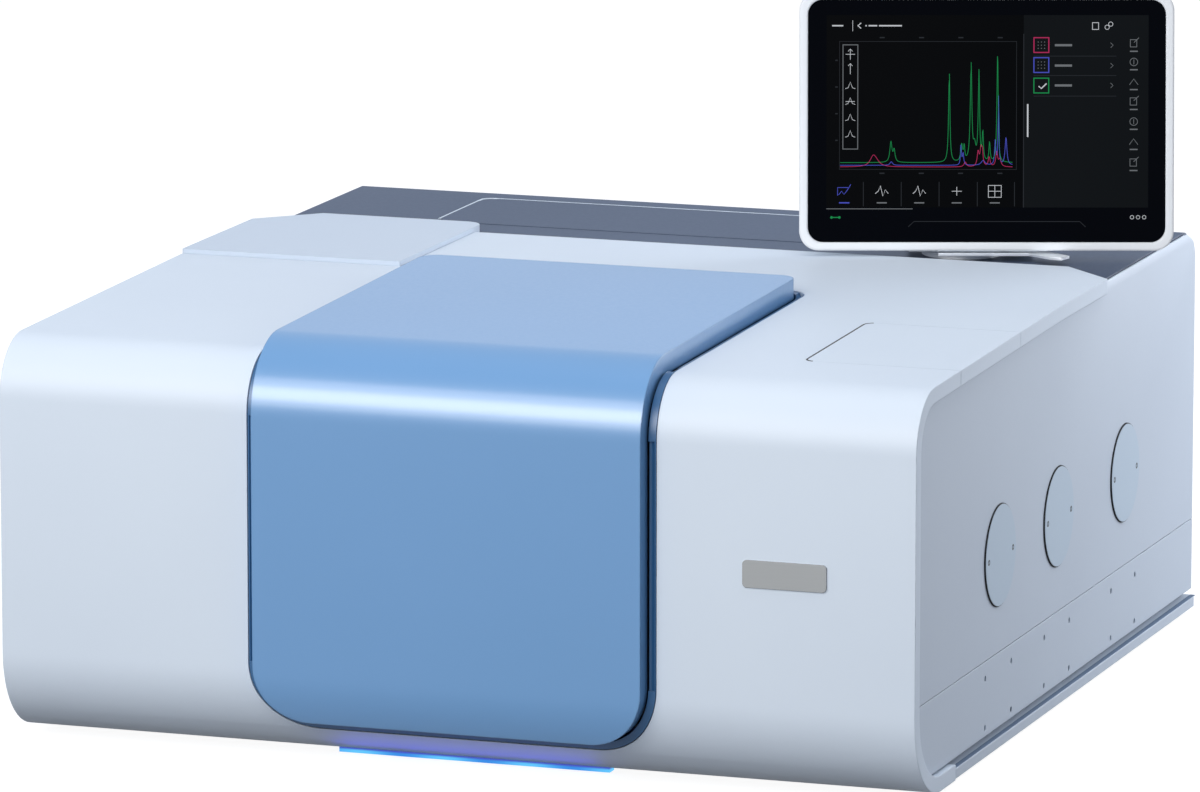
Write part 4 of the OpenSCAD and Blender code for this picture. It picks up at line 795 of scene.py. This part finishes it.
def addBead(bm, points, half, low, high, place):
    # a slim closed bar along points (x, y), low and high measured from the surface
    rows = []
    for i, p in enumerate(points):
        ahead = Vector(points[min(i + 1, len(points) - 1)]) - Vector(points[max(i - 1, 0)])
        across = Vector((-ahead.y, ahead.x)).normalized() * half
        left, right = Vector(p) + across, Vector(p) - across
        inner = (Vector(p) + across * 0.5, Vector(p) - across * 0.5)
        rows.append([bm.verts.new(place(q.x, q.y, h)) for q, h in
                     ((left, low), (left, high * 0.5), (inner[0], high), (inner[1], high),
                      (right, high * 0.5), (right, low))])
    for a, b in zip(rows, rows[1:]):
        for i in range(6):
            j = (i + 1) % 6
            bm.faces.new([a[i], a[j], b[j], b[i]])
    bm.faces.new(rows[0])
    bm.faces.new(rows[-1][::-1])


def arcPoints(x, y, r, start, end, steps=8):
    return [(x + r * math.cos(math.radians(start + (end - start) * i / steps)),
             y + r * math.sin(math.radians(start + (end - start) * i / steps)))
            for i in range(steps + 1)]


def roofPlace(x, y, h):
    drop = max(0, paintedSeamLines["crease"] - y) * math.tan(math.radians(paintedSeamLines["slope"]))
    return caseFrame(x, y, paintedSeamLines["roof"] - drop + h)


def buildHatchSeamShadow(bm):
    x, (y0, y1), r = paintedSeamLines["hatchX"], paintedSeamLines["hatchY"], paintedSeamLines["hatchR"]
    points = arcPoints(x + r, y0 + r, r, 262, 180) + arcPoints(x + r, y1 - r, r, 180, 105)
    addBead(bm, points, paintedSeamLines["hatchHalf"], paintedSeamLines["hatchRoot"], paintedSeamLines["hatchProud"],
            roofPlace)


def buildDeckEdgeHighlight(bm):
    x, (y0, y1), r = paintedSeamLines["deckX"], paintedSeamLines["deckY"], paintedSeamLines["deckR"]
    points = ([(-x, y0)] + arcPoints(-x + r, y1 - r, r, 180, 90)
              + arcPoints(x - r, y1 - r, r, 90, 0) + [(x, y0)])
    addBead(bm, points, paintedSeamLines["deckHalf"], paintedSeamLines["deckRoot"], paintedSeamLines["deckProud"],
            lambda a, b, h: caseFrame(a, b, paintedSeamLines["deckTop"] + h))


# dark band that lies on top of each base strip, outside the lower panel: painted shadow of the
# gap under the panel
ledgeShade = {"inner": 330.0, "outer": 333.7, "start": 98, "end": 712, "low": 7.6, "high": 8.25}


def buildLedgeShadows(bm):
    for side in (-1, 1):
        addBlock(bm, (ledgeShade["inner"], ledgeShade["start"], ledgeShade["low"]),
                 (ledgeShade["outer"], ledgeShade["end"], ledgeShade["high"]),
                 lambda x, y, z, side=side: caseFrame(side * x, y, z))


# the dark band on each base strip is painted shadow of the gap under the lower panel
makePiece("base_ledge_shadows", buildLedgeShadows, finishes["ledgeShadowPaint"], "case", bevel=0.1)
# the dark bead down the hatch's seam is painted shadow of the gap
makePiece("hatch_seam_shadow", buildHatchSeamShadow, finishes["blackRubberAndSeamShade"], "case",
          smooth=True)
# the pale bead round the deck cover is a painted highlight along its edge
makePiece("deck_cover_edge_highlight", buildDeckEdgeHighlight, finishes["deckEdgeHighlight"], "case",
          smooth=True)
print("small pieces made")

# stage, light and camera
stage = {"floorSize": 30.0, "floorColour": "#7c7f84", "lift": 0.93, "mirrored": 0.5}
floorMesh = bpy.data.meshes.new("floor")
half = stage["floorSize"] / 2
floorMesh.from_pydata([(-half, -half, 0), (half, -half, 0), (half, half, 0),
                       (-half, half, 0)], [], [(0, 1, 2, 3)])
floor = bpy.data.objects.new("floor", floorMesh)
bpy.context.scene.collection.objects.link(floor)
floorPaint, tree, shader = startMaterial("floorPaper",
                                         {"Base Color": hexColour(stage["floorColour"]),
                                          "Roughness": 0.9, "Specular IOR Level": 0.1})
# the paper is lifted nearly to white for the camera, which leaves a faint contact shadow,
# and half as far in reflections
rays = addNode(tree, "ShaderNodeLightPath")
mirrored = addNode(tree, "ShaderNodeMath", {"operation": "MULTIPLY", 1: stage["mirrored"]},
                   {0: rays.outputs["Is Glossy Ray"]})
seen = addNode(tree, "ShaderNodeMath", {"operation": "MAXIMUM"},
               {0: rays.outputs["Is Camera Ray"], 1: mirrored.outputs[0]})
lift = addNode(tree, "ShaderNodeEmission", {"Color": (1, 1, 1, 1)})
level = addNode(tree, "ShaderNodeMath", {"operation": "MULTIPLY", 1: stage["lift"]},
                {0: seen.outputs[0]})
tree.links.new(level.outputs[0], lift.inputs["Strength"])
both = addNode(tree, "ShaderNodeAddShader", None, {0: shader.outputs[0], 1: lift.outputs[0]})
tree.links.new(both.outputs[0], tree.nodes["Material Output"].inputs["Surface"])
floorMesh.materials.append(floorPaint)

scene = bpy.context.scene
# a dim room lights the piece; the camera, reflections and windows see a pale blue backdrop
world = bpy.data.worlds.new("studio")
scene.world = world
world.use_nodes = True
tree = world.node_tree
tree.nodes.clear()
rays = addNode(tree, "ShaderNodeLightPath")
seen = addNode(tree, "ShaderNodeMath", {"operation": "MAXIMUM"},
               {0: rays.outputs["Is Camera Ray"], 1: rays.outputs["Is Transmission Ray"]})
seen = addNode(tree, "ShaderNodeMath", {"operation": "MAXIMUM"},
               {0: seen.outputs[0], 1: rays.outputs["Is Glossy Ray"]})
room = addNode(tree, "ShaderNodeBackground", {"Color": hexColour("#f4f8ff"),
                                              "Strength": 0.28})
backdrop = addNode(tree, "ShaderNodeBackground", {"Color": hexColour("#dbe7fa"),
                                                  "Strength": 1.0})
mixed = addNode(tree, "ShaderNodeMixShader", None,
                {0: seen.outputs[0], 1: room.outputs[0], 2: backdrop.outputs[0]})
addNode(tree, "ShaderNodeOutputWorld", None, {"Surface": mixed.outputs[0]})

# lamps: place, what they point at, width and height in metres, power in watts, colour.
# They don't show themselves, and the strip lights nothing but the gloss.
lamps = {
    "keyLamp": ((-0.6, -3.1, 1.8), (0, -0.3, 0.2), (3.4, 2.4), 106, "#ffffff"),
    # narrow strip low in front: it only draws the light band on the front bend
    "stripLamp": ((-0.6, -3.0, 1.6), (0, -0.3, 0.2), (3.0, 0.95), 64, "#fff8f2"),
    "topLamp": ((0.5, 0.0, 2.8), (0.1, 0, 0.2), (2.0, 2.0), 28, "#f4f8ff"),
    # behind the right side, so that the side panel darkens towards the front
    "sideLamp": ((1.1, 1.15, 0.6), (0.34, 0.2, 0.15), (0.9, 0.7), 18.5, "#f4f8ff"),
    # weak fill for the left side
    "fillLamp": ((-2.0, -0.2, 0.9), (-0.3, 0, 0.15), (1.4, 1.0), 8, "#f4f8ff"),
    # spill of the diodes on the underside of the front
    "diodeSpill": ((-0.0093, -0.331, 0.0035), (-0.0093, -0.339, 0.030), (0.19, 0.006),
                   0.009, "#3044ff"),
}
for name, (place, target, size, power, colour) in lamps.items():
    lamp = bpy.data.lights.new(name, "AREA")
    lamp.shape = "RECTANGLE"
    lamp.size, lamp.size_y = size
    lamp.energy = power
    lamp.color = hexColour(colour)[:3]
    holder = bpy.data.objects.new(name, lamp)
    holder.location = place
    holder.rotation_euler = (Vector(target) - Vector(place)).to_track_quat("-Z", "Y").to_euler()
    holder.visible_camera = False
    holder.visible_diffuse = name != "stripLamp"
    scene.collection.objects.link(holder)

view = {"place": (2.1126577, -6.1375, 1.425), "turn": 19.20, "height": 10.62, "lens": 274.4}
camera = bpy.data.cameras.new("camera")
camera.lens = view["lens"]
camera.sensor_width = 36
camera.sensor_fit = "HORIZONTAL"
camera.clip_end = 100
cameraHolder = bpy.data.objects.new("camera", camera)
cameraHolder.location = view["place"]
cameraHolder.rotation_euler = (math.radians(90 - view["height"]), 0,
                               math.radians(view["turn"]))
scene.collection.objects.link(cameraHolder)
scene.camera = cameraHolder
scene.view_settings.view_transform = "Standard"
print("stage, lamps and camera ready")

bpy.context.view_layer.update()
